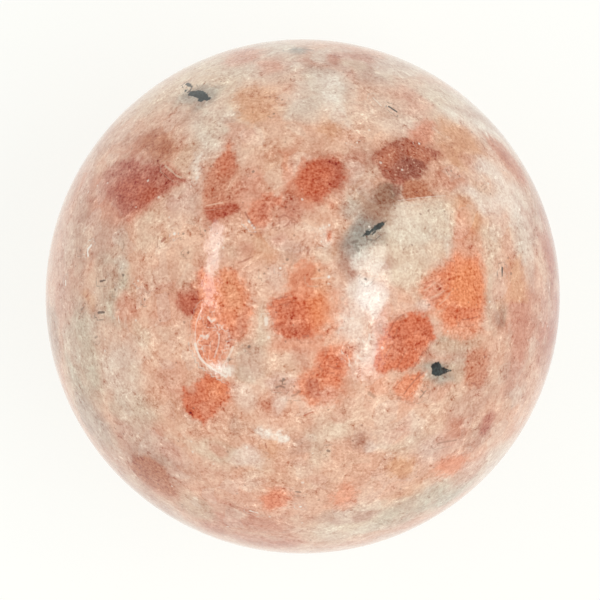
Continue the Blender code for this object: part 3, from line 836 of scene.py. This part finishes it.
def along_and_across(places, line, steps):
    """How far each flat place lies along and across a line through its stops, and how far from it."""
    if len(line) == 1:
        offset = places - line[0]
        return offset[:, 0], offset[:, 1], np.linalg.norm(offset, axis=1)
    nearest = np.full(len(places), np.inf)
    along = np.zeros(len(places))
    across = np.zeros(len(places))
    gone = 0.0
    for index, step in enumerate(steps):
        heading = (line[index + 1] - line[index]) / step
        offset = places - line[index]
        forward = offset @ heading
        sideways = offset @ np.array((-heading[1], heading[0]))
        distance = np.hypot(sideways, forward - np.clip(forward, 0.0, step))
        low = -np.inf if index == 0 else 0.0
        high = np.inf if index == len(steps) - 1 else step
        wins = distance < nearest
        nearest[wins] = distance[wins]
        along[wins] = gone + np.clip(forward, low, high)[wins]
        across[wins] = sideways[wins]
        gone += step
    return along, across, nearest


def bend(directions, size, amount):
    """The directions pushed about by noise, both in millimetres, which gives soft patches uneven edges."""
    ball = BALL_RADIUS / MM
    pushes = np.array([noise.noise_vector(Vector(place)) for place in directions * ball / size])
    moved = directions * ball + pushes * amount
    return moved / np.linalg.norm(moved, axis=1)[:, None]


def patch_of(cloud):
    """A cloud of the photograph as a patch on the ball."""
    middle = sphere_point(cloud.x, cloud.y)
    across = middle.angle(sphere_point(*turned(cloud, cloud.width / 2, 0.0)))
    upward = middle.angle(sphere_point(*turned(cloud, 0.0, cloud.height / 2)))
    size = BALL_RADIUS / MM
    return Patch(cloud.tint, middle, across * size, upward * size, math.radians(cloud.turn), cloud.strength)


def on_ball(pieces):
    """Each grain or mark of the photograph, with the directions of its corners or places."""
    return [(piece, [sphere_point(x, y) for x, y in piece[1]]) for piece in pieces]


# How many of each kind the side that the photograph hides gets.
HIDDEN_COUNTS = {"black": 5, "cloud": 120, "base": 20, "grain": 34, "mark": 90}
# The cosine of the least angle between two of its grains' middles.
HIDDEN_CLEARANCE = 0.962
# How often each tint turns up there, for clouds, grains and marks.
HIDDEN_CLOUDS = {
    "peach": 5, "cream": 6, "frost": 3, "quartz": 3, "mauve": 6, "salmon": 4, "rose": 3, "ochre": 5,
    "lilac": 3, "beige": 4, "milk": 2, "blush": 3,
}
HIDDEN_GRAINS = {
    "rust": 4, "coral": 6, "brick": 4, "terracotta": 4, "rose": 6, "ochre": 4, "madder": 3, "plum": 1,
}
HIDDEN_MARKS = {"bistre": 8, "milk": 4, "plum": 5, "white": 2, "black": 1}


def hidden_direction(chance):
    """A direction on the half of the ball that the photograph hides."""
    height = chance.uniform(-1.0, 0.06)
    around = chance.uniform(0.0, 2 * math.pi)
    out = math.sqrt(1 - height**2)
    return Vector((out * math.cos(around), out * math.sin(around), height))


def picked(chance, shares):
    """A tint, drawn by how often each turns up."""
    return chance.choices(list(shares), weights=list(shares.values()))[0]


def hidden_patches(chance, count):
    """Soft patches for the side that the photograph hides."""
    patches = []
    for _ in range(count):
        patches.append(Patch(
            picked(chance, HIDDEN_CLOUDS), hidden_direction(chance), chance.uniform(1.6, 4.6),
            chance.uniform(1.4, 3.6), chance.uniform(0.0, math.pi), chance.uniform(0.4, 0.95),
        ))
    return patches


def ring_of_corners(chance, middle, width, height, count):
    """Corners of an uneven closed outline round a direction."""
    chart = Chart(middle, chance.uniform(0.0, math.pi))
    corners = []
    for step in range(count):
        around = 2 * math.pi * (step + chance.uniform(-0.3, 0.3)) / count
        out = chance.uniform(0.78, 1.15) * MM / BALL_RADIUS
        aside = chart.right * (width * out * math.cos(around))
        upward = chart.up * (height * out * math.sin(around))
        corners.append((chart.middle + (aside + upward)).normalized())
    return corners


def hidden_grains(chance, count):
    """Grains for the side that the photograph hides, kept clear of each other."""
    grains, middles = [], []
    while len(grains) < count:
        middle = hidden_direction(chance)
        if any(middle.dot(other) > HIDDEN_CLEARANCE for other in middles):
            continue
        middles.append(middle)
        width = chance.uniform(1.5, 3.5)
        height = width * chance.uniform(0.55, 1.0)
        corners = ring_of_corners(chance, middle, width, height, chance.randint(7, 11))
        grain = Grain(
            picked(chance, HIDDEN_GRAINS), (), border=chance.uniform(0.35, 1.3),
            strength=chance.uniform(0.55, 0.97), lines=chance.uniform(0.2, 0.9),
            angle=chance.uniform(0.0, 180.0),
        )
        grains.append((grain, corners))
    return grains


def hidden_black_grains(chance, count):
    """Small black iron grains for the side that the photograph hides."""
    grains = []
    for _ in range(count):
        width = chance.uniform(0.5, 1.1)
        middle = hidden_direction(chance)
        corners = ring_of_corners(chance, middle, width, width * chance.uniform(0.3, 0.8), 9)
        grains.append((Grain("black", (), border=0.12, strength=1.0, lines=0.0, mottle=0.2), corners))
    return grains


def haze_round(grains):
    """The grey haze that the stone has round each black grain."""
    return [Patch("slate", sum(corners, Vector()).normalized(), 1.8, 1.3, 0.0, 0.8) for _, corners in grains]


def hidden_marks(chance, count):
    """Dots and short lines for the side that the photograph hides."""
    marks = []
    for _ in range(count):
        middle = hidden_direction(chance)
        chart = Chart(middle, chance.uniform(0.0, math.pi))
        length = chance.choice((0.0, 0.0, 0.5, 0.9, 1.4)) * MM / BALL_RADIUS
        bow = chance.uniform(-0.2, 0.2) * length
        stops = [middle] if length == 0.0 else [
            (chart.middle + chart.right * length * side + chart.up * bow * (side == 0.0)).normalized()
            for side in (-0.5, 0.0, 0.5)
        ]
        mark = Mark(picked(chance, HIDDEN_MARKS), (), chance.uniform(1.4, 3.0), chance.uniform(0.4, 0.9))
        marks.append((mark, stops))
    return marks


def turned(cloud, right, up):
    """A place in the photograph, offset from a cloud's middle along its own axes."""
    turn = math.radians(cloud.turn)
    x = cloud.x + right * math.cos(turn) - up * math.sin(turn)
    y = cloud.y - right * math.sin(turn) - up * math.cos(turn)
    return x, y


def carry(mesh, name, kind, values):
    """Stores one value for each point of the mesh, under a name that the material reads."""
    layer = mesh.attributes.new(name, kind, "POINT")
    field = "color" if kind == "FLOAT_COLOR" else "vector" if kind == "FLOAT_VECTOR" else "value"
    layer.data.foreach_set(field, np.ascontiguousarray(values, dtype=np.float32).ravel())


def ball_mesh(sizes):
    """A cube with its sides cut into a fine grid, pushed out to a ball and ground flat underneath."""
    bm = bmesh.new()
    bmesh.ops.create_cube(bm, size=2.0)
    bmesh.ops.subdivide_edges(bm, edges=bm.edges[:], cuts=sizes.cells - 1, use_grid_fill=True)
    layer = lay_out_map(bm)
    for vert in bm.verts:
        spread = Vector([math.tan(c * math.pi / 4) if abs(c) < 1 else c for c in vert.co]).normalized()
        polar = 2 * math.atan2(
            sizes.top_squeeze * math.hypot(spread.x, spread.y), 1.0 + spread.z
        ) if spread.z > -1 else math.pi
        around = math.atan2(spread.y, spread.x)
        out = BALL_RADIUS * math.sin(polar)
        height = BALL_RADIUS * math.cos(polar)
        vert.co = BALL_CENTRE + Vector((out * math.cos(around), out * math.sin(around), height))
    cut = bmesh.ops.bisect_plane(
        bm, geom=bm.verts[:] + bm.edges[:] + bm.faces[:], dist=1e-7,
        plane_co=(0, 0, BALL_LOW.z), plane_no=(0, 0, -1), clear_outer=True,
    )
    rim = [e for e in cut["geom_cut"] if isinstance(e, bmesh.types.BMEdge)]
    for face in bmesh.ops.contextual_create(bm, geom=rim)["faces"]:
        for loop in face.loops:
            beside = loop.link_loop_radial_next
            match = beside if beside.vert == loop.vert else beside.link_loop_next
            loop[layer].uv = match[layer].uv
    bmesh.ops.bevel(
        bm, geom=rim, offset=sizes.flat_bevel, affect="EDGES", segments=2, profile=0.5, material=-1,
    )
    bmesh.ops.recalc_face_normals(bm, faces=bm.faces[:])
    mesh = bpy.data.meshes.new("sunstone_ball")
    bm.to_mesh(mesh)
    bm.free()
    return mesh


# Where each of the cube's six sides lies on the map, as columns and rows of a third of its width. A side is
# named by its axis and sign.
MAP_SPOTS = {
    (0, 1): (0, 0), (0, -1): (1, 0), (1, 1): (2, 0),
    (1, -1): (0, 1), (2, 1): (1, 1), (2, -1): (2, 1),
}
MAP_STEP = 1.0 / 3.0
MAP_GAP = 0.006


def lay_out_map(bm):
    """Unfolds the cube's six sides side by side, while they are still square."""
    layer = bm.loops.layers.uv.new("OFBake")
    for face in bm.faces:
        middle = face.calc_center_median()
        axis = max(range(3), key=lambda i: abs(middle[i]))
        sign = 1 if middle[axis] > 0 else -1
        column, row = MAP_SPOTS[(axis, sign)]
        first, second = [i for i in range(3) if i != axis]
        for loop in face.loops:
            across = (loop.vert.co[first] + 1) / 2
            upward = (loop.vert.co[second] + 1) / 2
            loop[layer].uv = (
                column * MAP_STEP + MAP_GAP + across * (MAP_STEP - 2 * MAP_GAP),
                row * MAP_STEP + MAP_GAP + upward * (MAP_STEP - 2 * MAP_GAP),
            )
    return layer


class Bench:
    """Adds shader nodes to one material, and links them."""

    def __init__(self, material):
        material.use_nodes = True
        self.tree = material.node_tree
        self.tree.nodes.clear()

    def add(self, kind, **settings):
        node = self.tree.nodes.new(kind)
        for name, value in settings.items():
            setattr(node, name, value)
        return node

    def feed(self, socket, value):
        """Links another node's output to a socket, or sets the socket to a plain value."""
        if isinstance(value, bpy.types.NodeSocket):
            self.tree.links.new(value, socket)
        elif socket.type == "RGBA" and len(value) == 3:
            socket.default_value = (*value, 1.0)
        else:
            socket.default_value = value

    def arithmetic(self, operation, *values, clamp=False):
        node = self.add("ShaderNodeMath", operation=operation, use_clamp=clamp)
        for socket, value in zip(node.inputs, values):
            self.feed(socket, value)
        return node.outputs[0]

    def plus(self, first, second):
        return self.arithmetic("ADD", first, second)

    def minus(self, first, second):
        return self.arithmetic("SUBTRACT", first, second)

    def times(self, first, second):
        return self.arithmetic("MULTIPLY", first, second)

    def times_plus(self, first, second, third):
        return self.arithmetic("MULTIPLY_ADD", first, second, third)

    def rest_of(self, value, clamp=False):
        """What is left of 1 without the value."""
        return self.arithmetic("SUBTRACT", 1.0, value, clamp=clamp)

    def vector(self, operation, *values):
        node = self.add("ShaderNodeVectorMath", operation=operation)
        for socket, value in zip(node.inputs, values):
            self.feed(socket, value)
        return node.outputs["Value"] if operation == "DOT_PRODUCT" else node.outputs["Vector"]

    def scaled(self, vector, factor):
        node = self.add("ShaderNodeVectorMath", operation="SCALE")
        self.feed(node.inputs[0], vector)
        self.feed(node.inputs["Scale"], factor)
        return node.outputs["Vector"]

    def rise(self, value, low, high, top=1.0):
        """Goes smoothly from 0 where the value is low to the top where it is high."""
        node = self.add("ShaderNodeMapRange", interpolation_type="SMOOTHSTEP")
        self.feed(node.inputs["Value"], value)
        self.feed(node.inputs["From Min"], low)
        self.feed(node.inputs["From Max"], high)
        self.feed(node.inputs["To Max"], top)
        return node.outputs["Result"]

    def blend(self, amount, first, second, mode="MIX"):
        node = self.add("ShaderNodeMix", data_type="RGBA", blend_type=mode)
        self.feed(node.inputs[0], amount)
        self.feed(node.inputs[6], first)
        self.feed(node.inputs[7], second)
        return node.outputs[2]

    def noise(self, place, size, detail=2.0, roughness=0.5, dimensions="3D"):
        """Cloudy noise whose clouds are about size millimetres wide."""
        node = self.add("ShaderNodeTexNoise", noise_dimensions=dimensions)
        self.feed(node.inputs["W" if dimensions == "1D" else "Vector"], place)
        self.feed(node.inputs["Scale"], 1.0 / size)
        self.feed(node.inputs["Detail"], detail)
        self.feed(node.inputs["Roughness"], roughness)
        return node.outputs

    def mosaic(self, place, size):
        """Cells about size millimetres wide, each with its own random colour."""
        node = self.add("ShaderNodeTexVoronoi", feature="F1")
        self.feed(node.inputs["Vector"], place)
        self.feed(node.inputs["Scale"], 1.0 / size)
        return node.outputs

    def split(self, colour):
        node = self.add("ShaderNodeSeparateColor")
        self.feed(node.inputs[0], colour)
        return node.outputs[0], node.outputs[1], node.outputs[2]

    def carried(self, name):
        """What the mesh carries under this name."""
        return self.add("ShaderNodeAttribute", attribute_name=name).outputs

    def show(self, shader):
        """Makes this shader the material's surface."""
        output = self.add("ShaderNodeOutputMaterial")
        self.tree.links.new(shader.outputs[0], output.inputs["Surface"])


# What a grain's own colour is multiplied by in its deep and in its pale parts.
DEEP_PART = (0.89, 0.79, 0.71)
PALE_PART = (1.12, 1.20, 1.28)
# A step of light follows the colour by this power, with less of the step in the red.
LIGHT_POWER = 0.55
LIGHT_SHARES = (0.81, 1.10, 1.10)
# Noise squeezed or drawn out along each axis like this looks like fibres.
FIBRE_SQUEEZE = (2.9, 0.55, 1.3)
# The heights over the floor, in millimetres, between which the ground flat turns into polish.
FLAT_HEIGHT = 0.20
POLISH_HEIGHT = 0.30


def shake(bench, place, size, amount):
    """The place pushed about by noise, in millimetres."""
    push = bench.vector("SUBTRACT", bench.noise(place, size)["Color"], (0.5, 0.5, 0.5))
    return bench.vector("ADD", place, bench.scaled(push, amount))


def ground_mass(bench, broad, tints):
    """The pale feldspar between the grains: soft clouds of tint, and crystals."""
    carried = bench.carried("cloud_tint")
    colour, free = carried["Color"], carried["Alpha"]
    for size, strength in ((3.4, 0.75), (1.5, 0.15)):
        red, green, blue = bench.split(bench.noise(broad, size, 1.0, 0.5)["Color"])
        for amount, other, top in (
            (red, tints.cream, 0.34), (green, tints.salmon, 0.22), (blue, tints.mauve, 0.26),
        ):
            cover = bench.times(bench.rise(amount, 0.50, 0.68, top * strength), free)
            colour = bench.blend(cover, colour, other)
    red, green, blue = bench.split(bench.mosaic(broad, 2.4)["Color"])
    for amount, other, top in (
        (red, tints.milk, 0.16), (green, tints.rose, 0.07), (blue, tints.beige, 0.12),
    ):
        cover = bench.times(bench.rise(amount, 0.60, 0.95, top), free)
        colour = bench.blend(cover, colour, other)
    return colour


def lay_grain_layer(bench, colour, place, bent, prefix, ragged, uneven, tints):
    """One layer of grains over the colour so far. Returns the new colour and how much of it is grain."""
    depth = bench.carried(prefix + "_depth")["Fac"]
    tinted = bench.carried(prefix + "_tint")
    habit = bench.carried(prefix + "_habit")["Vector"]
    cleavage = bench.carried(prefix + "_cleavage")["Vector"]
    border, lines, mottle = separate(bench, habit)
    depth = bench.plus(depth, ragged)
    halo = bench.times(bench.rise(depth, -1.5, 0.1, 0.22), bench.times(mottle, tinted["Alpha"]))
    colour = bench.blend(halo, colour, tinted["Color"])
    cover = bench.rise(depth, bench.times(border, -0.65), bench.times(border, 0.65))
    across = bench.vector("DOT_PRODUCT", shake(bench, place, 1.1, 0.5), cleavage)
    stripes = bench.noise(across, 0.42, 2.0, 0.6, "1D")["Fac"]
    stripe = bench.times(bench.rise(stripes, 0.50, 0.64, 0.42), lines)
    red, green, blue = bench.split(bench.noise(bent, 0.7, 3.0, 0.65)["Color"])
    body = tinted["Color"]
    deep = bench.blend(1.0, body, DEEP_PART, "MULTIPLY")
    pale = bench.blend(0.03, bench.blend(1.0, body, PALE_PART, "MULTIPLY"), tints.cream)
    body = bench.blend(bench.times(bench.rise(red, 0.50, 0.66, 0.22), mottle), body, pale)
    body = bench.blend(bench.times(bench.rise(green, 0.50, 0.66, 0.14), mottle), body, deep)
    body = bench.blend(bench.times(stripe, bench.rise(blue, 0.42, 0.58)), body, deep)
    edge = bench.times(bench.rise(depth, -0.05, 0.10), bench.rest_of(bench.rise(depth, 0.10, 0.40)))
    edge = bench.times(bench.times(edge, bench.rise(blue, 0.46, 0.60, 0.5)), mottle)
    body = bench.blend(edge, body, deep)
    fading = bench.rest_of(bench.times(bench.rise(uneven, 0.52, 0.70, 0.22), mottle))
    strength = bench.times(bench.times(cover, tinted["Alpha"]), fading)
    return bench.blend(strength, colour, body), strength


def separate(bench, vector):
    """The vector's three parts."""
    node = bench.add("ShaderNodeSeparateXYZ")
    bench.feed(node.inputs[0], vector)
    return node.outputs[0], node.outputs[1], node.outputs[2]


def lay_mark_layer(bench, colour, fine):
    """The thin lines and dots, each with a slightly uneven edge."""
    along, across, half_width = separate(bench, bench.carried("mark_place")["Vector"])
    half_length = bench.carried("mark_length")["Fac"]
    tinted = bench.carried("mark_tint")
    over = bench.arithmetic("MAXIMUM", bench.minus(bench.arithmetic("ABSOLUTE", along), half_length), 0.0)
    square = bench.plus(bench.arithmetic("POWER", over, 2.0), bench.times(across, across))
    reach = bench.arithmetic("SQRT", square)
    reach = bench.plus(bench.arithmetic("DIVIDE", reach, half_width), bench.times(fine, 5.0))
    cover = bench.rest_of(bench.rise(reach, 0.6, 1.5))
    return bench.blend(bench.times(cover, tinted["Alpha"]), colour, tinted["Color"])


def swayed(bench, light, noise_value, strength):
    """The light, raised or lowered by how far a noise lies from its middle value."""
    return bench.times_plus(bench.minus(noise_value, 0.5), strength, light)


def thin_lines(bench, place, size, width):
    """1 along the thin wandering lines where a noise crosses its middle value, in some places only."""
    wander = bench.noise(place, size, 2.0, 0.5)
    offset = bench.arithmetic("ABSOLUTE", bench.minus(wander["Fac"], 0.5))
    line = bench.rest_of(bench.rise(offset, 0.0, width))
    some_places = bench.rise(bench.split(wander["Color"])[1], 0.48, 0.58)
    return bench.times(line, some_places)


def specks(bench, place, size, widest, share):
    """Small round dots, one in a share of the cells of a mosaic."""
    spots = bench.mosaic(place, size)
    radius = bench.times(bench.rise(bench.split(spots["Color"])[0], 1.0 - share, 1.0), widest)
    dot = bench.rest_of(bench.rise(spots["Distance"], bench.times(radius, 0.5), radius))
    return bench.times(dot, bench.rise(radius, 0.0, widest * 0.3))


def polished_stone(tints, sizes):
    """Feldspar with stained grains, black iron grains, fine specks and a glossy, faintly uneven polish."""
    material = bpy.data.materials.new("polished_sunstone")
    bench = Bench(material)
    coordinates = bench.add("ShaderNodeTexCoord").outputs["Object"]
    place = bench.scaled(coordinates, 1.0 / MM)
    broad = shake(bench, place, 2.2, 1.4)
    bent = shake(bench, broad, 0.6, 0.45)
    colour = ground_mass(bench, broad, tints)
    uneven = bench.noise(broad, 2.2, 1.0, 0.5)["Fac"]

    ragged_noise = bench.noise(place, 0.7, 3.0, 0.65)["Fac"]
    ragged = bench.times(bench.minus(ragged_noise, 0.5), 1.6)
    fine = bench.times(bench.minus(ragged_noise, 0.5), 0.5)
    wide_ragged = bench.times(ragged, 1.6)
    colour, _ = lay_grain_layer(bench, colour, place, bent, "base", wide_ragged, uneven, tints)
    colour, cover = lay_grain_layer(bench, colour, place, bent, "grain", ragged, uneven, tints)
    small_ragged = bench.times(ragged, 0.5)
    colour, upper_cover = lay_grain_layer(bench, colour, place, bent, "upper", small_ragged, uneven, tints)

    open_ground = bench.rest_of(bench.arithmetic("MAXIMUM", cover, upper_cover), clamp=True)
    pale_lines = bench.times(thin_lines(bench, bent, 1.4, 0.030), open_ground)
    dark_lines = bench.times(thin_lines(bench, shake(bench, place, 0.9, 0.7), 0.8, 0.030), open_ground)
    grit = bench.noise(bent, 0.8, 5.0, 0.85)["Fac"]
    dust = bench.noise(place, 0.28, 1.0, 0.5)["Fac"]
    fibres = bench.noise(bench.vector("MULTIPLY", bent, FIBRE_SQUEEZE), 1.0, 2.0, 0.6)["Fac"]
    busy = bench.plus(0.40, bench.rise(bench.noise(place, 2.2, 2.0, 0.5)["Fac"], 0.35, 0.68, 1.1))
    busy = bench.times_plus(cover, 0.12, busy)
    paleness = bench.rise(bench.split(colour)[1], 0.50, 0.75, 0.25)
    busy = bench.times(busy, bench.rest_of(paleness))
    grit = bench.minus(grit, 0.5)
    sparse = bench.times_plus(bench.arithmetic("ABSOLUTE", grit), 8.0, 0.40)
    light = bench.times(bench.times(grit, sparse), bench.times(busy, 1.36))
    fibre_strength = bench.times_plus(cover, -0.13, 0.30)
    light = swayed(bench, light, fibres, fibre_strength)
    soft_light = bench.noise(broad, 1.7, 1.0, 0.5)["Fac"]
    soft_strength = bench.times_plus(cover, -0.20, 0.35)
    light = swayed(bench, light, soft_light, soft_strength)
    plates = bench.split(bench.mosaic(bent, 1.9)["Color"])[0]
    plate_strength = bench.times_plus(cover, -0.06, 0.10)
    light = swayed(bench, light, plates, plate_strength)
    light = bench.times_plus(pale_lines, 0.12, light)
    light = bench.times_plus(dark_lines, -0.08, light)
    dust_strength = bench.times_plus(cover, 0.5, 0.5)
    light = swayed(bench, light, dust, dust_strength)
    even = bench.add("ShaderNodeGamma")
    bench.feed(even.inputs["Color"], colour)
    even.inputs["Gamma"].default_value = LIGHT_POWER
    grey_step = bench.vector("MULTIPLY", even.outputs["Color"], LIGHT_SHARES)
    colour = bench.vector("ADD", colour, bench.scaled(grey_step, light))
    worn_here = bench.carried("worn")["Fac"]
    # Painted reflection: white squiggles laid into the colour in the worn patches, where the lamps'
    # reflections break up.
    scratches = bench.times(thin_lines(bench, bent, 1.1, 0.045), bench.rise(worn_here, 0.3, 0.8))
    colour = bench.blend(bench.times(scratches, 0.6), colour, tints.milk)
    colour = lay_mark_layer(bench, colour, fine)

    scattered = shake(bench, place, 0.3, 0.25)
    colour = bench.blend(bench.times(specks(bench, scattered, 0.9, 0.20, 0.3), 0.55), colour, tints.speck)
    # The white specks are partly pale pits and partly painted glints of the stone's platelets.
    colour = bench.blend(bench.times(specks(bench, scattered, 1.2, 0.18, 0.25), 0.6), colour, tints.milk)

    shader = bench.add("ShaderNodeBsdfPrincipled")
    bench.feed(shader.inputs["Base Color"], colour)
    waviness = bench.noise(place, 1.6, 2.0, 0.5)["Fac"]
    peel = bench.noise(place, 0.35, 3.0, 0.6)["Fac"]
    polish = bench.rise(peel, 0.2, 1.0, 2 * sizes.polish_roughness)
    worn = bench.plus(worn_here, bench.times(fine, 1.6))
    height = separate(bench, place)[2]
    ground_flat = bench.rest_of(bench.rise(height, FLAT_HEIGHT, POLISH_HEIGHT))
    dull = bench.arithmetic("MAXIMUM", bench.rise(worn, 0.2, 0.9), ground_flat)
    drop = bench.times(dull, bench.minus(sizes.worn_roughness, polish))
    bench.feed(shader.inputs["Roughness"], bench.plus(polish, drop))
    relief = bench.times_plus(peel, 0.12, waviness)
    bump = bench.add("ShaderNodeBump")
    bench.feed(bump.inputs["Height"], relief)
    bump.inputs["Distance"].default_value = BUMP_DEPTH
    bench.feed(shader.inputs["Normal"], bump.outputs[0])
    shader.inputs["IOR"].default_value = FELDSPAR_IOR
    bench.show(shader)
    return material


class SUNSTONE_OT_ball(bpy.types.Operator):
    """Builds the polished ball with its grains"""

    bl_idname = "sunstone.ball"
    bl_label = "Sunstone Ball"

    def execute(self, context):
        tints = context.scene.sunstone_tints
        sizes = context.scene.sunstone_sizes
        mesh = ball_mesh(sizes)
        points = np.empty(len(mesh.vertices) * 3, np.float32)
        mesh.vertices.foreach_get("co", points)
        offsets = points.reshape(-1, 3).astype(float) - np.array(BALL_CENTRE)
        directions = offsets / np.linalg.norm(offsets, axis=1)[:, None]
        noise.seed_set(NOISE_SEED)
        surface = Surface(directions, tints)
        chance = random.Random(sizes.seed)
        hidden_black = hidden_black_grains(chance, HIDDEN_COUNTS["black"])
        shown = [patch_of(cloud) for cloud in CLOUDS.values()]
        hazes = [patch for patch in shown if patch.tint == "slate"] + haze_round(hidden_black)
        patches = hidden_patches(chance, HIDDEN_COUNTS["cloud"]) + shown + hazes
        clouds = surface.lay_clouds(np.tile(surface.colour("blush"), (surface.count, 1)), patches)
        carry(mesh, "cloud_tint", "FLOAT_COLOR", np.c_[clouds, 1 - surface.most_covered(hazes)])
        shifts = [patch_of(cloud) for cloud in GRAIN_CLOUDS.values() if cloud.tint != "faded"]
        fades = [patch_of(cloud) for cloud in GRAIN_CLOUDS.values() if cloud.tint == "faded"]
        layers = {
            "base": on_ball(BASE_GRAINS.values()) + hidden_grains(chance, HIDDEN_COUNTS["base"]),
            "grain": on_ball(GRAINS.values()) + hidden_grains(chance, HIDDEN_COUNTS["grain"]),
            "upper": on_ball(UPPER_GRAINS.values()) + hidden_black,
        }
        for prefix, grains in layers.items():
            depth, colour, habit, cleavage = surface.lay_grains(grains)
            if prefix != "upper":
                colour[:, :3] = surface.lay_clouds(colour[:, :3], shifts)
                colour[:, 3] *= 1 - surface.most_covered(fades)
            carry(mesh, prefix + "_depth", "FLOAT", depth)
            carry(mesh, prefix + "_tint", "FLOAT_COLOR", colour)
            carry(mesh, prefix + "_habit", "FLOAT_VECTOR", habit)
            carry(mesh, prefix + "_cleavage", "FLOAT_VECTOR", cleavage)
        marked = on_ball(MARKS.values()) + hidden_marks(chance, HIDDEN_COUNTS["mark"])
        place, half_length, colour = surface.lay_marks(marked)
        carry(mesh, "mark_place", "FLOAT_VECTOR", place)
        carry(mesh, "mark_length", "FLOAT", half_length)
        carry(mesh, "mark_tint", "FLOAT_COLOR", colour)
        carry(mesh, "worn", "FLOAT", surface.most_covered([patch_of(cloud) for cloud in WORN.values()]))
        mesh.shade_smooth()
        mesh.set_sharp_from_angle(angle=SHARP_ANGLE)
        ball = bpy.data.objects.new("sunstone_ball", mesh)
        context.scene.collection.objects.link(ball)
        mesh.materials.append(polished_stone(tints, sizes))
        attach(ball, "root")
        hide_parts(BALL_NODE)
        return {"FINISHED"}


def paper_floor(stage):
    """White paper with light coming through it."""
    material = bpy.data.materials.new("light_box_paper")
    bench = Bench(material)
    shader = bench.add("ShaderNodeBsdfPrincipled")
    shader.inputs["Base Color"].default_value = (*stage.paper, 1.0)
    shader.inputs["Roughness"].default_value = PAPER_ROUGHNESS
    shader.inputs["Emission Color"].default_value = (*stage.paper_light, 1.0)
    shader.inputs["Specular IOR Level"].default_value = 0.0
    shader.inputs["Emission Strength"].default_value = stage.paper_glow
    bench.show(shader)
    return material


def strip_light(scene, name, height, tilt, shift, length, width, radiance):
    """A long lamp over the ball, leaning out from straight above by the tilt, and facing the ball."""
    data = bpy.data.lights.new(name, "AREA")
    data.shape = "RECTANGLE"
    data.size = width
    data.size_y = length
    data.energy = radiance * math.pi * width * length
    lamp = bpy.data.objects.new(name, data)
    lamp.location = BALL_CENTRE + Vector((height * math.tan(tilt), -shift, height))
    lamp.rotation_euler = (0.0, tilt, 0.0)
    lamp.visible_camera = False
    scene.collection.objects.link(lamp)


class SUNSTONE_OT_stage(bpy.types.Operator):
    """Sets the floor, the light box's lamps and the camera"""

    bl_idname = "sunstone.stage"
    bl_label = "Light Box and Camera"

    def execute(self, context):
        scene = context.scene
        stage = scene.sunstone_stage
        bm = bmesh.new()
        bmesh.ops.create_grid(bm, x_segments=1, y_segments=1, size=stage.floor_side / 2)
        bmesh.ops.translate(bm, vec=(0.0, 0.0, -FLOOR_GAP), verts=bm.verts)
        mesh = bpy.data.meshes.new("light_box_floor")
        bm.to_mesh(mesh)
        bm.free()
        mesh.materials.append(paper_floor(stage))
        floor = bpy.data.objects.new("light_box_floor", mesh)
        scene.collection.objects.link(floor)

        right = (RIGHT_LEAN, stage.right_shift, stage.right_length)
        for name, *measures in (
            ("left_strip", -LEFT_LEAN, 0.0, stage.left_length, stage.left_width, stage.left_radiance),
            ("right_strip", *right, stage.right_width, stage.right_radiance),
            ("right_glow", *right, stage.glow_width, stage.glow_radiance),
        ):
            strip_light(scene, name, stage.lamp_height, *measures)
        world = bpy.data.worlds.new("light_box_walls")
        world.use_nodes = True
        background = world.node_tree.nodes["Background"]
        background.inputs["Color"].default_value = (*stage.fill, 1.0)
        background.inputs["Strength"].default_value = stage.fill_strength
        scene.world = world
        scene.view_settings.view_transform = "Standard"
        scene.view_settings.look = "None"

        data = bpy.data.cameras.new("overhead_camera")
        camera = bpy.data.objects.new("overhead_camera", data)
        data.sensor_width = SENSOR_SIDE
        rim_slope = BALL_RADIUS / math.sqrt(CAMERA_DISTANCE**2 - BALL_RADIUS**2)
        pixel_slope = rim_slope / PHOTO_BALL_RADIUS
        data.lens = SENSOR_SIDE / 2 / (pixel_slope * PHOTO_SIDE / 2)
        data.clip_start = CLIP_START
        aside = (PHOTO_SIDE / 2 - PHOTO_BALL_X) * pixel_slope * CAMERA_DISTANCE
        upward = (PHOTO_BALL_Y - PHOTO_SIDE / 2) * pixel_slope * CAMERA_DISTANCE
        camera.location = BALL_CENTRE + Vector((aside, upward, CAMERA_DISTANCE))
        scene.collection.objects.link(camera)
        scene.camera = camera
        return {"FINISHED"}


class SUNSTONE_PT_panel(bpy.types.Panel):
    """Lists the ball's sizes, the stone's tints and the stage, with buttons that build the ball and the
    stage
    """

    bl_label = "Sunstone Sphere"
    bl_idname = "SUNSTONE_PT_panel"
    bl_space_type = "VIEW_3D"
    bl_region_type = "UI"
    bl_category = "Sunstone"

    def draw(self, context):
        layout = self.layout
        scene = context.scene
        for group in (scene.sunstone_sizes, scene.sunstone_tints, scene.sunstone_stage):
            box = layout.box()
            for name in group.__annotations__:
                box.prop(group, name)
        layout.operator(SUNSTONE_OT_ball.bl_idname)
        layout.operator(SUNSTONE_OT_stage.bl_idname)


CLASSES = (
    SunstoneTints, SunstoneSizes, SunstoneStage, SUNSTONE_OT_ball, SUNSTONE_OT_stage, SUNSTONE_PT_panel,
)


def register():
    for cls in CLASSES:
        bpy.utils.register_class(cls)
    bpy.types.Scene.sunstone_tints = PointerProperty(type=SunstoneTints)
    bpy.types.Scene.sunstone_sizes = PointerProperty(type=SunstoneSizes)
    bpy.types.Scene.sunstone_stage = PointerProperty(type=SunstoneStage)


def unregister():
    del bpy.types.Scene.sunstone_stage
    del bpy.types.Scene.sunstone_sizes
    del bpy.types.Scene.sunstone_tints
    for cls in reversed(CLASSES):
        bpy.utils.unregister_class(cls)


def main():
    register()
    bpy.ops.sunstone.ball()
    bpy.ops.sunstone.stage()


if __name__ == "__main__":
    main()
